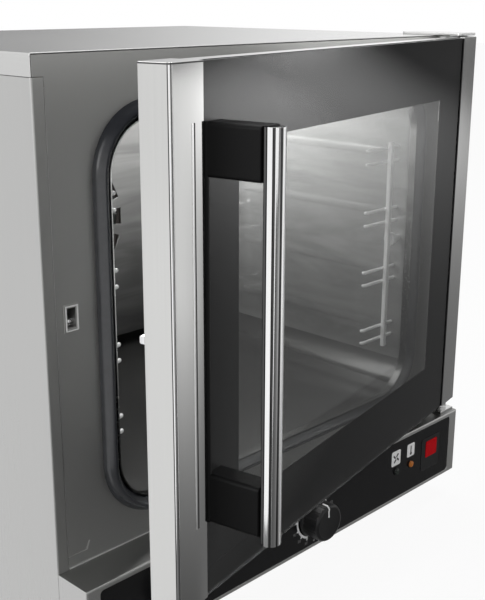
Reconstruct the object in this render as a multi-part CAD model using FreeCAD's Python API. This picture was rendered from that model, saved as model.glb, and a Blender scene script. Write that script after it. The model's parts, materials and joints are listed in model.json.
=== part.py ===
import FreeCAD, Part
import math
import os
from FreeCAD import Vector

os.makedirs("parts", exist_ok=True)

# Overall casing, millimetres, front towards -Y, standing surface at Z = 0
BODY_W = 589.0
BODY_D = 460.0
TOP_Z = 579.0
FOOT_H = 33.0
PANEL_H = 83.0
SHEET = 1.2
SEAM = 0.4
LIP = 19.0
FLANGE = 12.0
BEND_R = 2.0
FACE_SET = 0.3
FIT = 0.2
RUN = 0.05
XR = BODY_W / 2
XL = -XR
YF = -BODY_D / 2
YB = BODY_D / 2
LEDGE_Z = FOOT_H + PANEL_H
FACE_Y = YF + FACE_SET
FACE_BACK = FACE_Y + SHEET

# Control panel that stands out below the door
PANEL_OUT = 42.5
STRIP_W = 15.0
TRIM_TOP = 5.0
TRIM_BOTTOM = 4.5
FASCIA_R = 4.0
FASCIA_T = 2.0
FASCIA_SET = 0.4
FASCIA_LAP = 2.5
PANEL_Y = YF - PANEL_OUT
FASCIA_BACK = PANEL_Y + SHEET + FASCIA_T

# Door mouth, seal and baking chamber, set in from the casing
MOUTH_SIDE = 72.0
MOUTH_TOP = 57.5
MOUTH_RISE = 40.5
MOUTH_R = 49.5
SEAL_W = 15.5
SEAL_T = 12.0
SEAL_GAP = 0.4
CHAMBER_SIDE = 21.0
CHAMBER_ABOVE = 4.0
CHAMBER_BELOW = 3.0
CHAMBER_R = 45.0
REAR_SPACE = 40.0
WOOL_T = 27.0
MOUTH_W = BODY_W - 2 * MOUTH_SIDE
MOUTH_Z0 = LEDGE_Z + MOUTH_RISE
MOUTH_Z1 = TOP_Z - MOUTH_TOP
CHAMBER_HALF = MOUTH_W / 2 + CHAMBER_SIDE
CHAMBER_Z0 = MOUTH_Z0 - CHAMBER_BELOW
CHAMBER_Z1 = MOUTH_Z1 + CHAMBER_ABOVE
CHAMBER_BACK = YB - REAR_SPACE

# Door, drawn shut and then swung open to its resting angle
DOOR_SIDE_GAP = 1.5
DOOR_LOW_GAP = 15.0
DOOR_TOP_GAP = 1.5
DOOR_OUT = 37.5
DOOR_T = 29.6
DOOR_OPEN = 11.0
UPRIGHT_L = 41.0
UPRIGHT_R = 37.5
UPRIGHT_WALL = 1.5
FOLD_GAP = 0.9
FOLD_IN = 2.4
HINGE_IN = 8.5
HINGE_OUT = 24.0
PIN_R = 5.0
PLUG_H = 14.0
PANE_T = 4.0
PRINT_T = 0.6
PANE_SET = 0.8
PANE_EDGE = 0.5
WINDOW_SIDE = 22.0
WINDOW_LOW = 40.5
WINDOW_TOP = 9.5
DOOR_X = XR - DOOR_SIDE_GAP
DOOR_Z0 = LEDGE_Z + DOOR_LOW_GAP
DOOR_Z1 = TOP_Z - DOOR_TOP_GAP
DOOR_Y = YF - DOOR_OUT
DOOR_BACK = DOOR_Y + DOOR_T
HINGE_X = DOOR_X - HINGE_IN
HINGE_Y = YF - HINGE_OUT
GLASS_L = -DOOR_X + UPRIGHT_L
GLASS_R = DOOR_X - UPRIGHT_R
PANE_Y = DOOR_Y + PANE_SET
INNER_BACK = FACE_Y - SEAL_T - SEAL_GAP
WINDOW_X = MOUTH_W / 2 - WINDOW_SIDE
WINDOW_Z0 = MOUTH_Z0 + WINDOW_LOW
WINDOW_Z1 = MOUTH_Z1 - WINDOW_TOP

# Handle, placed from the door's free edge
GRIP_IN = 53.0
GRIP_W = 18.0
GRIP_REACH = 63.0
GRIP_DEPTH = 9.5
GRIP_LOW = 64.0
GRIP_TOP = 45.5
CORE_T = 4.0
CORE_INSET = 0.5
BRACKET_W = 23.0
BRACKET_R = 3.5
UPPER_BRACKET_H = 42.0
LOWER_BRACKET_H = 44.0
LOWER_BRACKET_UP = 7.0
CAP_OVER = 1.0
FLUTES = 4
FLUTE_STEP = 40.0
FLUTE_R = 1.1
GRIP_X = -DOOR_X + GRIP_IN
GRIP_Z0 = DOOR_Z0 + GRIP_LOW
GRIP_Z1 = DOOR_Z1 - GRIP_TOP

# Tray supports, placed from the chamber's wall and ceiling
LEVEL_PITCH = 73.2
TOP_LEVEL_DROP = 76.5
PRONG_DROP = 16.0
WIRE_R = 2.0
WIRE_SIDES = 6
BAR_IN = 22.0
BAR_T = 6.0
BAR_W = 6.0
BAR_ABOVE = 8.0
BAR_TAIL = 10.4
PRONG_LONG = 34.5
TIP_BEND = 4.0
BAR_FRONT = 30.0
BAR_REAR = 57.0
STUD_DROP = 110.0
STUD_R = 4.0
COLLAR_R = 8.0
COLLAR_T = 6.0
BAR_X = CHAMBER_HALF - BAR_IN
PRONG_TIP_X = BAR_X - PRONG_LONG
TOP_LEVEL_Z = CHAMBER_Z1 - TOP_LEVEL_DROP
STUD_Z = TOP_LEVEL_Z - STUD_DROP
LEVELS = 1 + int((TOP_LEVEL_Z - 2 * PRONG_DROP - BAR_TAIL - CHAMBER_Z0) / LEVEL_PITCH)

# Fan, heater and motor at the middle of the chamber's back
GUARD_STAND = 58.0
GUARD_SIDE = 57.5
GUARD_RIM = 19.5
GUARD_R = 14.0
GUARD_POST = 5.0
POST_IN = 12.0
GUARD_SLOTS = 14
SLOT_ROWS = ((26.0, 50.0), (58.0, 84.0))
SLOT_SHARE = 0.3
WHEEL_FRONT = 13.0
WHEEL_REAR = 16.0
WHEEL_R = 88.0
WHEEL_SHEET = 1.5
HUB_R = 15.0
BLADES = 8
BLADE_IN = 52.0
BLADE_T = 1.8
BLADE_RIM = 2.0
BLADE_LEAN = 22.0
SHAFT_R = 4.0
SHAFT_NOSE = 6.0
NUT_R = 7.5
NUT_T = 5.0
RING_R = 108.0
RING_TUBE = 4.0
RING_FRONT = 19.0
RING_STEP = 16.0
RING_SIDES = 20
TUBE_SIDES = 6
LEG_X = 12.0
LEG_THIN = 0.8
LEG_OUT = 15.0
HEATER_PLATE = (22.0, 8.0, 2.0)
MOTOR_HALF_W = 40.0
MOTOR_HALF_H = 34.0
MOTOR_FOOT = (46.0, 20.0, 2.0)
MOTOR_STAND = 16.0
MOTOR_LONG = 28.0
MOTOR_POST = (30.0, 6.0)
BELL_R = 22.0
BELL_LONG = 18.0
SHAFT_TAIL = 20.0
SHAFT_HOLE_R = 10.0
COVER_HALF = 105.0
COVER_OUT = 62.0
COVER_R = 6.0
FAN_Z = (CHAMBER_Z0 + CHAMBER_Z1) / 2
GUARD_Y = CHAMBER_BACK - GUARD_STAND
GUARD_W = 2 * (CHAMBER_HALF - GUARD_SIDE)
GUARD_H = CHAMBER_Z1 - CHAMBER_Z0 - 2 * GUARD_RIM

# Chamber lamp, temperature probe and steam outlet
LAMP_IN = 29.5
LAMP_DROP = 60.5
LAMP_HALF_W = 15.0
LAMP_HALF_H = 24.0
LAMP_DEEP = 24.0
LENS_LAP = 4.0
LENS_T = 7.0
LENS_BEVEL = 5.0
PROBE_IN = 29.5
PROBE_R = 3.0
PROBE_LONG = 120.0
VENT_IN = 38.5
VENT_DROP = 37.5
VENT_R = 15.0
VENT_WALL = 1.5
VENT_THROAT = 2.5
VENT_OUT = 34.0
VENT_PLATE = 24.0
LAMP_X = -CHAMBER_HALF + LAMP_IN
LAMP_Z = CHAMBER_Z1 - LAMP_DROP
PROBE_X = CHAMBER_HALF - PROBE_IN
VENT_X = CHAMBER_HALF - VENT_IN
VENT_Z = CHAMBER_Z1 - VENT_DROP

# Supply gland, terminals and feet
GLAND_IN = 69.5
GLAND_UP = 39.0
GLAND_R = 9.0
GLAND_NUT = (5.0, 6.0)
GLAND_TAIL = 12.0
GLAND_CAP = 13.0
CORD_R = 5.0
TERMINAL = (60.0, 30.0, 24.0)
TERMINAL_IN = 45.0
FOOT_IN = 54.5
FOOT_FROM_END = 52.0
FOOT_R = 20.0
FOOT_TIP_R = 16.0
FOOT_TIP_H = 7.0
FOOT_SIDES = 24
GLAND_X = XR - GLAND_IN
GLAND_Z = FOOT_H + GLAND_UP

# Knobs, spindles and pilot lamps
KNOB_D = 44.0
KNOB_H = 24.0
KNOB_UP = 40.0
KNOB_GAP = 0.6
KNOB_CHAMFER = 1.4
THERMOSTAT_X = 13.0
TIMER_IN = 102.5
SPINDLE_R = 3.0
SPINDLE_IN = 13.0
SPINDLE_DEEP = 14.0
SPINDLE_HOLE = 0.5
UNIT_HALF = 19.0
UNIT_T = 32.0
LAMP_R = 3.6
LAMP_OUT = 2.2
LAMP_BODY = (4.6, 18.0, 6.0)
HEAT_LAMP_IN = 97.5
LAMP_STEP = 29.0
KNOB_Z = FOOT_H + KNOB_UP
KNOB_Y = PANEL_Y - KNOB_GAP
SPINDLE_BACK = FASCIA_BACK + SPINDLE_DEEP
TIMER_X = XL + TIMER_IN
HEAT_LAMP_X = XR - HEAT_LAMP_IN
FAN_LAMP_X = HEAT_LAMP_X - LAMP_STEP

# Door catch
CATCH_IN = 26.5
CATCH_UP = 224.5
CATCH_W = 11.0
CATCH_H = 20.0
CATCH_FRAME = 2.5
CATCH_PLATE = 1.2
CATCH_WALL = 1.0
POCKET_LOW = 23.0
POCKET_TOP = 1.5
POCKET_LONG = 28.0
ROLLER_R = 3.5
ROLLER_IN = 6.5
ROLLER_CLEAR = 0.4
CARRIER_HALF_Y = 3.0
CARRIER_SIDE = 0.3
CATCH_TRAVEL = 4.5
STRIKER_H = 7.0
STRIKER_HALF = 3.0
STRIKER_LONG = 23.0
STRIKER_DROP = 1.3
STRIKER_R = 1.5
STRIKER_PLATE = (7.0, 2.0, 9.0)
CATCH_X = -DOOR_X + CATCH_IN
CATCH_Z = DOOR_Z0 + CATCH_UP


# Shape helpers
def block(x0, x1, y0, y1, z0, z1):
    return Part.makeBox(x1 - x0, y1 - y0, z1 - z0, Vector(x0, y0, z0))


def rod_y(x, z, r, y0, y1):
    return Part.makeCylinder(r, y1 - y0, Vector(x, y0, z), Vector(0, 1, 0))


def rod_z(x, y, r, z0, z1):
    return Part.makeCylinder(r, z1 - z0, Vector(x, y, z0))


def rod_x(y, z, r, x0, x1):
    return Part.makeCylinder(r, x1 - x0, Vector(x0, y, z), Vector(1, 0, 0))


def bar(axis, centre, r, start, end, sides):
    """Straight bar of regular polygon section along an axis; centre holds its other two coordinates."""
    points = []
    for i in range(sides):
        a = 2 * math.pi * (i + 0.5) / sides
        u = centre[0] + r * math.cos(a)
        v = centre[1] + r * math.sin(a)
        points.append({"x": (start, u, v), "y": (u, start, v), "z": (u, v, start)}[axis])
    run = end - start
    return prism(points, {"x": (run, 0, 0), "y": (0, run, 0), "z": (0, 0, run)}[axis])


def round_edges(shape, r, test):
    return shape.makeFillet(r, [e for e in shape.Edges if test(e.BoundBox)])


def loop_xz(half_w, z0, z1, r, y):
    """Closed rounded rectangle about X = 0 in a plane of constant Y."""
    s = r * math.sqrt(0.5)
    a = half_w - r
    low = z0 + r
    high = z1 - r
    edges = []
    corners = [(a, high, 1, 1), (-a, high, -1, 1), (-a, low, -1, -1), (a, low, 1, -1)]
    ends = []
    for cx, cz, sx, sz in corners:
        p = Vector(cx + sx * r, y, cz)
        q = Vector(cx, y, cz + sz * r)
        m = Vector(cx + sx * s, y, cz + sz * s)
        first, last = (p, q) if sx * sz > 0 else (q, p)
        edges.append(Part.Arc(first, m, last).toShape())
        ends.append((first, last))
    sides = []
    for i in range(4):
        sides.append(Part.makeLine(ends[i][1], ends[(i + 1) % 4][0]))
    return Part.Wire([e for pair in zip(edges, sides) for e in pair])


def slab_xz(half_w, z0, z1, r, y0, y1):
    return Part.Face(loop_xz(half_w, z0, z1, r, y0)).extrude(Vector(0, y1 - y0, 0))


def prism(points, run):
    wire = Part.makePolygon([Vector(*p) for p in points] + [Vector(*points[0])])
    return Part.Face(wire).extrude(Vector(*run))


def turned(profile, x, y, z, forward):
    """Solid of revolution from (radius, height) points; stands on Z, or points along -Y."""
    wire = Part.makePolygon([Vector(r, 0, h) for r, h in profile + [profile[0]]])
    solid = Part.Face(wire).revolve(Vector(0, 0, 0), Vector(0, 0, 1), 360)
    if forward:
        solid.rotate(Vector(0, 0, 0), Vector(1, 0, 0), 90)
    solid.translate(Vector(x, y, z))
    return solid


def mirrored(shape):
    return shape.mirror(Vector(0, 0, 0), Vector(1, 0, 0))


nodes = {}
door_nodes = {}

# Casing sheets
cover = block(XL, XR, YF, YB, TOP_Z - LIP, TOP_Z)
cover = round_edges(cover, BEND_R, lambda b: b.YLength > BODY_D - 1 and b.ZMin > TOP_Z - 0.1)
hollow = block(XL + SHEET, XR - SHEET, YF - 1, YB + 1, TOP_Z - LIP - 1, TOP_Z - SHEET)
nodes["top_cover"] = cover.cut(hollow)

side_top = TOP_Z - LIP - SEAM
side = block(XL, XL + FLANGE, YF, YB, FOOT_H, side_top)
side = round_edges(side, BEND_R, lambda b: b.ZLength > 100 and b.XMax < XL + 0.1 and b.YMax < YF + 0.1)
side = side.cut(block(XL + SHEET, XR, YF + SHEET, YB - 2 * SHEET, FOOT_H + SHEET, TOP_Z))
side = side.cut(block(XL + SHEET, XR, YB - SHEET, YB + 1, 0, TOP_Z))
tongue = block(XL + SHEET, XL + 2 * SHEET, FACE_BACK + SEAM, YB - 2 * SHEET,
               side_top - FLANGE, TOP_Z - SHEET - SEAM)
side = side.fuse(tongue).removeSplitter()
nodes["left_side_panel"] = side
nodes["right_side_panel"] = mirrored(side)

PAN_LIP = 15.0
PAN_WALL = 1.5
PAN_SLOTS = 6
PAN_SLOT_STEP = 36.0
PAN_SLOT_W = 8.0
PAN_SLOT_HALF = 45.0
PAN_SLOT_IN = 174.5
pan_half = XR - SHEET
pan_z0 = FOOT_H + SHEET
pan_floor = pan_z0 + PAN_WALL
base = block(-pan_half, pan_half, YF + SHEET, YB - 2 * SHEET, pan_z0, pan_z0 + PAN_LIP)
base = base.cut(
    block(-pan_half + PAN_WALL, pan_half - PAN_WALL, YF + SHEET + PAN_WALL, YB - 2 * SHEET - PAN_WALL,
          pan_floor, TOP_Z)
)
for x in (-XR + PAN_SLOT_IN, XR - PAN_SLOT_IN):
    for i in range(PAN_SLOTS):
        y = (i - (PAN_SLOTS - 1) / 2) * PAN_SLOT_STEP
        slot = block(x - PAN_SLOT_HALF, x + PAN_SLOT_HALF, y, y + PAN_SLOT_W, pan_z0 - 1, pan_floor + 1)
        base = base.cut(slot)
nodes["base_pan"] = base

back_half = XR - SHEET - SEAM
back = block(-back_half, back_half, YB - SHEET, YB, FOOT_H, TOP_Z - SHEET - SEAM)
MOTOR_ROOM = 8.0
LOUVRES = 7
LOUVRE_STEP = 40.0
LOUVRE_HALF = 4.0
LOUVRE_H = 45.0
LOUVRE_IN = 94.5
LOUVRE_UP = 27.0
motor_way = MOTOR_HALF_W + MOTOR_ROOM
back = back.cut(
    block(-motor_way, motor_way, YB - 5, YB + 5,
          FAN_Z - MOTOR_HALF_H - MOTOR_ROOM, FAN_Z + MOTOR_HALF_H + MOTOR_ROOM)
)
back = back.cut(rod_y(VENT_X, VENT_Z, VENT_R + FIT, YB - 5, YB + 5))
back = back.cut(rod_y(GLAND_X, GLAND_Z, GLAND_R + FIT, YB - 5, YB + 5))
for i in range(LOUVRES):
    x = XL + LOUVRE_IN + LOUVRE_STEP * i
    z = FOOT_H + LOUVRE_UP
    back = back.cut(block(x - LOUVRE_HALF, x + LOUVRE_HALF, YB - 5, YB + 5, z, z + LOUVRE_H))
nodes["back_panel"] = back

cover_box = block(-COVER_HALF, COVER_HALF, YB, YB + COVER_OUT, FAN_Z - COVER_HALF, FAN_Z + COVER_HALF)
cover_box = round_edges(cover_box, COVER_R, lambda b: b.YLength > COVER_OUT - 1)
cover_box = cover_box.cut(
    block(-COVER_HALF + SHEET, COVER_HALF - SHEET, YB - 1, YB + COVER_OUT - SHEET,
          FAN_Z - COVER_HALF + SHEET, FAN_Z + COVER_HALF - SHEET)
)
rim = COVER_HALF + FLANGE
cover_rim = block(-rim, rim, YB, YB + SHEET, FAN_Z - rim, FAN_Z + rim)
cover_rim = cover_rim.cut(
    block(-COVER_HALF + SHEET, COVER_HALF - SHEET, YB - 1, YB + 5,
          FAN_Z - COVER_HALF + SHEET, FAN_Z + COVER_HALF - SHEET)
)
cover_box = cover_box.fuse(cover_rim).removeSplitter()
COVER_SLOTS = 7
COVER_SLOT_STEP = 22.0
COVER_SLOT_HALF = 3.0
COVER_SLOT_IN = 35.0
slot_half = COVER_HALF - COVER_SLOT_IN
for i in range(COVER_SLOTS):
    z = FAN_Z + (i - (COVER_SLOTS - 1) / 2) * COVER_SLOT_STEP
    slot = block(-slot_half, slot_half, YB + COVER_OUT - 5, YB + COVER_OUT + 5,
                 z - COVER_SLOT_HALF, z + COVER_SLOT_HALF)
    cover_box = cover_box.cut(slot)
nodes["rear_motor_cover"] = cover_box

face_half = XR - FLANGE - SEAM
face_top = TOP_Z - SHEET - SEAM
face = block(-face_half, face_half, FACE_Y, FACE_BACK, LEDGE_Z, face_top)
face_fold = block(-face_half, face_half, FACE_Y, FACE_Y + FLANGE, face_top - SHEET, face_top)
ear_half = XR - SHEET - FIT
face_ears = block(-ear_half, ear_half, FACE_Y, FACE_BACK, side_top + SEAM, face_top)
face = face.fuse([face_fold, face_ears]).removeSplitter()
face = face.cut(slab_xz(MOUTH_W / 2, MOUTH_Z0, MOUTH_Z1, MOUTH_R, YF - 5, YF + 10))
face = face.cut(
    block(CATCH_X - CATCH_W / 2, CATCH_X + CATCH_W / 2, YF - 5, YF + 10,
          CATCH_Z - CATCH_H / 2, CATCH_Z + CATCH_H / 2)
)
nodes["front_panel"] = face

# Baking chamber with its rolled front flange and pressed side beads
liner = slab_xz(CHAMBER_HALF + SHEET, CHAMBER_Z0 - SHEET, CHAMBER_Z1 + SHEET, CHAMBER_R + SHEET,
                FACE_BACK, CHAMBER_BACK)
flange_out = slab_xz(CHAMBER_HALF + FLANGE, CHAMBER_Z0 - FLANGE, CHAMBER_Z1 + FLANGE, CHAMBER_R + FLANGE,
                     FACE_BACK, FACE_BACK + SHEET)
liner = liner.fuse(flange_out)
liner = liner.cut(slab_xz(CHAMBER_HALF, CHAMBER_Z0, CHAMBER_Z1, CHAMBER_R, YF - 5, YB))
BEAD_H = 2.0
BEAD_HALF = 7.0
BEAD_SLOPE = 3.0
BEAD_CLEAR = 15.0
bar_ys = (YF + BAR_FRONT, GUARD_Y - BAR_REAR)
bead_y = bar_ys[0] + BEAD_CLEAR
bead_end = bar_ys[1] - BEAD_CLEAR
beads = []
for i in range(LEVELS):
    z = TOP_LEVEL_Z - PRONG_DROP / 2 - LEVEL_PITCH * i
    outline = [
        (-CHAMBER_HALF, bead_y, z - BEAD_HALF),
        (-CHAMBER_HALF + BEAD_H, bead_y, z - BEAD_HALF + BEAD_SLOPE),
        (-CHAMBER_HALF + BEAD_H, bead_y, z + BEAD_HALF - BEAD_SLOPE),
        (-CHAMBER_HALF, bead_y, z + BEAD_HALF),
    ]
    bead = prism(outline, (0, bead_end - bead_y, 0))
    beads += [bead, mirrored(bead)]
nodes["chamber_liner"] = liner.fuse(beads).removeSplitter()

wall = slab_xz(CHAMBER_HALF + SHEET, CHAMBER_Z0 - SHEET, CHAMBER_Z1 + SHEET, CHAMBER_R + SHEET,
               CHAMBER_BACK, CHAMBER_BACK + SHEET)
for x, z, r in ((0, FAN_Z, SHAFT_HOLE_R), (VENT_X, VENT_Z, VENT_R - VENT_THROAT)):
    wall = wall.cut(rod_y(x, z, r, CHAMBER_BACK - 5, CHAMBER_BACK + 10))
wall = wall.cut(
    block(LAMP_X - LAMP_HALF_W - FIT, LAMP_X + LAMP_HALF_W + FIT, CHAMBER_BACK - 5, CHAMBER_BACK + 10,
          LAMP_Z - LAMP_HALF_H - FIT, LAMP_Z + LAMP_HALF_H + FIT)
)
leg_z = FAN_Z - RING_R
leg_hole = RING_TUBE + FIT
for x in (-LEG_X, LEG_X):
    wall = wall.cut(
        block(x - leg_hole, x + leg_hole, CHAMBER_BACK - 5, CHAMBER_BACK + 10,
              leg_z - leg_hole, leg_z + leg_hole)
    )
nodes["chamber_back_wall"] = wall

wool_back = CHAMBER_BACK + SHEET + WOOL_T
wool = block(-CHAMBER_HALF - WOOL_T, CHAMBER_HALF + WOOL_T, FACE_BACK + SHEET + SEAM, wool_back,
             CHAMBER_Z0 - WOOL_T, CHAMBER_Z1 + WOOL_T)
wool = wool.cut(
    slab_xz(CHAMBER_HALF + SHEET + FIT, CHAMBER_Z0 - SHEET - FIT, CHAMBER_Z1 + SHEET + FIT,
            CHAMBER_R + SHEET + FIT, YF, CHAMBER_BACK + SHEET + FIT)
)
WOOL_CLEAR = 3.0
for x, z, half in (
    (0, FAN_Z, motor_way),
    (0, FAN_Z - RING_R, LEG_X + RING_TUBE + WOOL_CLEAR),
    (LAMP_X, LAMP_Z, LAMP_HALF_H + WOOL_CLEAR),
    (VENT_X, VENT_Z, VENT_R + WOOL_CLEAR),
):
    wool = wool.cut(block(x - half, x + half, CHAMBER_BACK, YB, z - half, z + half))
catch_room = CATCH_W / 2 + CATCH_WALL + WOOL_CLEAR
wool = wool.cut(
    block(CATCH_X - catch_room, CATCH_X + catch_room, YF, FACE_BACK + POCKET_LONG + WOOL_CLEAR,
          CATCH_Z - POCKET_LOW - WOOL_CLEAR, CATCH_Z + CATCH_H / 2 + POCKET_TOP + WOOL_CLEAR)
)
nodes["insulation"] = wool

# Door seal, a bulb section carried round the mouth
mid_z = (MOUTH_Z0 + MOUTH_Z1) / 2
seal_x = MOUTH_W / 2 + SEAL_W / 2
half = SEAL_W / 2
section = []
for dx, dy in (
    (-half, 0), (half, 0), (half, -4.0), (half - 2.5, -9.0), (half - 6.0, -SEAL_T), (-half + 5.0, -SEAL_T),
    (-half + 1.5, -8.0),
):
    section.append(Vector(seal_x + dx, FACE_Y + dy, mid_z))
section_wire = Part.makePolygon(section + [section[0]])
start = loop_xz(seal_x, MOUTH_Z0 - half, MOUTH_Z1 + half, MOUTH_R + half, FACE_Y)
nodes["door_seal"] = Part.Wire(start.Edges).makePipeShell([section_wire], True, False, 1)

# Control housing and black fascia
housing = block(XL, XR, PANEL_Y, YF, FOOT_H, LEDGE_Z)
housing = round_edges(housing, BEND_R, lambda b: b.YMax < PANEL_Y + 0.1)
housing = housing.cut(
    block(XL + SHEET, XR - SHEET, PANEL_Y + SHEET, YF + 1, FOOT_H + SHEET, LEDGE_Z - SHEET)
)
tail = XR - FLANGE - 1
for z in (FOOT_H, LEDGE_Z - SHEET):
    housing = housing.fuse(block(-tail, tail, YF - 5, YF + FLANGE, z, z + SHEET))
win_z0 = FOOT_H + TRIM_BOTTOM
win_z1 = LEDGE_Z - TRIM_TOP
housing = housing.cut(slab_xz(XR - STRIP_W, win_z0, win_z1, FASCIA_R, PANEL_Y - 5, PANEL_Y + 5))
nodes["control_housing"] = housing.removeSplitter()

fascia_half = XR - STRIP_W
fascia = slab_xz(fascia_half - FIT, win_z0 + FIT, win_z1 - FIT, FASCIA_R - FIT,
                 PANEL_Y + FASCIA_SET, FASCIA_BACK)
fascia = fascia.fuse(
    block(-fascia_half - FASCIA_LAP, fascia_half + FASCIA_LAP, PANEL_Y + SHEET, FASCIA_BACK,
          win_z0 - FASCIA_LAP, win_z1 + FASCIA_LAP)
)
for x in (THERMOSTAT_X, TIMER_X):
    fascia = fascia.cut(rod_y(x, KNOB_Z, SPINDLE_R + SPINDLE_HOLE, PANEL_Y - 5, PANEL_Y + 10))
for x in (HEAT_LAMP_X, FAN_LAMP_X):
    fascia = fascia.cut(rod_y(x, KNOB_Z, LAMP_R + FIT, PANEL_Y - 5, PANEL_Y + 10))
nodes["control_fascia"] = fascia.removeSplitter()

# Knobs with their spindles and the units that they turn
knob_r = KNOB_D / 2
bore_r = SPINDLE_R + RUN / 2
knob_profile = [
    (bore_r, 0), (knob_r, 0), (knob_r, KNOB_H - KNOB_CHAMFER), (knob_r - KNOB_CHAMFER, KNOB_H),
    (0, KNOB_H), (0, SPINDLE_IN), (bore_r, SPINDLE_IN),
]
for name, x in (("thermostat", THERMOSTAT_X), ("timer", TIMER_X)):
    nodes[name + "_knob"] = turned(knob_profile, x, KNOB_Y, KNOB_Z, True)
    nodes[name + "_spindle"] = rod_y(x, KNOB_Z, SPINDLE_R, KNOB_Y - SPINDLE_IN + RUN, SPINDLE_BACK)
    unit = block(x - UNIT_HALF, x + UNIT_HALF, FASCIA_BACK, FASCIA_BACK + UNIT_T,
                 KNOB_Z - UNIT_HALF, KNOB_Z + UNIT_HALF)
    nodes[name + "_unit"] = unit.cut(rod_y(x, KNOB_Z, SPINDLE_R + RUN, PANEL_Y - 5, SPINDLE_BACK + RUN))

# Pilot lamps
body_half, body_long, body_rise = LAMP_BODY
for name, x in (("heat_lamp", HEAT_LAMP_X), ("fan_lamp", FAN_LAMP_X)):
    body = block(x - body_half, x + body_half, FASCIA_BACK, FASCIA_BACK + body_long,
                 KNOB_Z - body_rise, KNOB_Z + body_rise)
    nodes[name] = body.fuse(rod_y(x, KNOB_Z, LAMP_R, PANEL_Y - LAMP_OUT, FASCIA_BACK + 1)).removeSplitter()

# Supply terminals and the cable gland in the back panel
term_w, term_d, term_h = TERMINAL
term_y = YB - TERMINAL_IN
nodes["terminal_block"] = block(GLAND_X - term_w / 2, GLAND_X + term_w / 2, term_y - term_d, term_y,
                                pan_floor, pan_floor + term_h)
nut_over, nut_t = GLAND_NUT
gland_end = YB + nut_t + GLAND_CAP
gland = bar("y", (GLAND_X, GLAND_Z), GLAND_R, YB - GLAND_TAIL, gland_end, 12)
gland = gland.fuse(bar("y", (GLAND_X, GLAND_Z), GLAND_R + nut_over, YB, YB + nut_t, 6))
gland = gland.cut(rod_y(GLAND_X, GLAND_Z, CORD_R, YB - GLAND_TAIL - 5, gland_end + 5))
nodes["cable_gland"] = gland.removeSplitter()

# Steam outlet through the back
vent = rod_y(VENT_X, VENT_Z, VENT_R, CHAMBER_BACK + SHEET, YB + VENT_OUT)
vent = vent.fuse(
    block(VENT_X - VENT_PLATE, VENT_X + VENT_PLATE, YB, YB + SHEET, VENT_Z - VENT_PLATE, VENT_Z + VENT_PLATE)
)
vent = vent.cut(rod_y(VENT_X, VENT_Z, VENT_R - VENT_WALL, CHAMBER_BACK - 5, YB + VENT_OUT + 5))
nodes["steam_outlet"] = vent.removeSplitter()

# Feet
for end, y in (("front", YF + FOOT_FROM_END), ("rear", YB - FOOT_FROM_END)):
    for hand, x in (("left", XL + FOOT_IN), ("right", XR - FOOT_IN)):
        foot = bar("z", (x, y), FOOT_R, FOOT_TIP_H, pan_z0, FOOT_SIDES)
        foot = foot.fuse(bar("z", (x, y), FOOT_TIP_R, 0, FOOT_TIP_H, FOOT_SIDES))
        nodes[end + "_" + hand + "_foot"] = foot.removeSplitter()

# Fan guard with radial slots, standing on four posts
guard_back = GUARD_Y + SHEET
guard = block(-GUARD_W / 2, GUARD_W / 2, GUARD_Y, guard_back, FAN_Z - GUARD_H / 2, FAN_Z + GUARD_H / 2)
guard = round_edges(guard, GUARD_R, lambda b: b.YLength > 0.5 and b.XLength < 0.1 and b.ZLength < 0.1)
for inner, outer in SLOT_ROWS:
    for i in range(GUARD_SLOTS):
        mid = 2 * math.pi * i / GUARD_SLOTS
        spread = SLOT_SHARE * 2 * math.pi / GUARD_SLOTS
        slot = []
        for r, a in ((inner, -1), (outer, -1), (outer, 1), (inner, 1)):
            angle = mid + a * spread
            slot.append((r * math.cos(angle), GUARD_Y - 2, FAN_Z + r * math.sin(angle)))
        guard = guard.cut(prism(slot, (0, 8, 0)))
for sx in (-1, 1):
    for sz in (-1, 1):
        x = sx * (GUARD_W / 2 - POST_IN)
        z = FAN_Z + sz * (GUARD_H / 2 - POST_IN)
        guard = guard.fuse(
            block(x - GUARD_POST, x + GUARD_POST, GUARD_Y, CHAMBER_BACK, z - GUARD_POST, z + GUARD_POST)
        )
nodes["fan_guard"] = guard.removeSplitter()

# Fan wheel, shaft, motor and ring heater
wheel_y0 = GUARD_Y + WHEEL_FRONT
wheel_y1 = CHAMBER_BACK - WHEEL_REAR
blade_end = WHEEL_R - BLADE_RIM
wheel = rod_y(0, FAN_Z, WHEEL_R, wheel_y1 - WHEEL_SHEET, wheel_y1)
wheel = wheel.fuse(rod_y(0, FAN_Z, HUB_R, wheel_y0, wheel_y1 - WHEEL_SHEET / 2))
for i in range(BLADES):
    blade = block(BLADE_IN, blade_end, wheel_y0, wheel_y1 - WHEEL_SHEET / 2, -BLADE_T / 2, BLADE_T / 2)
    blade.rotate(Vector(blade_end, 0, 0), Vector(0, 1, 0), BLADE_LEAN)
    blade.rotate(Vector(0, 0, 0), Vector(0, 1, 0), 360.0 * i / BLADES)
    blade.translate(Vector(0, 0, FAN_Z))
    wheel = wheel.fuse(blade)
wheel = wheel.cut(rod_y(0, FAN_Z, SHAFT_R + RUN / 2, YF, YB))
nodes["fan_wheel"] = wheel.removeSplitter()
motor_y = CHAMBER_BACK + SHEET
stack_y = motor_y + MOTOR_STAND
bell_y = stack_y + MOTOR_LONG
shaft_end = bell_y + BELL_LONG + SHAFT_TAIL
shaft = rod_y(0, FAN_Z, SHAFT_R, wheel_y0 - SHAFT_NOSE, shaft_end)
nut = bar("y", (0, FAN_Z), NUT_R, wheel_y0 - NUT_T, wheel_y0 - RUN, 6)
nodes["fan_shaft"] = shaft.fuse(nut).removeSplitter()

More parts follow.
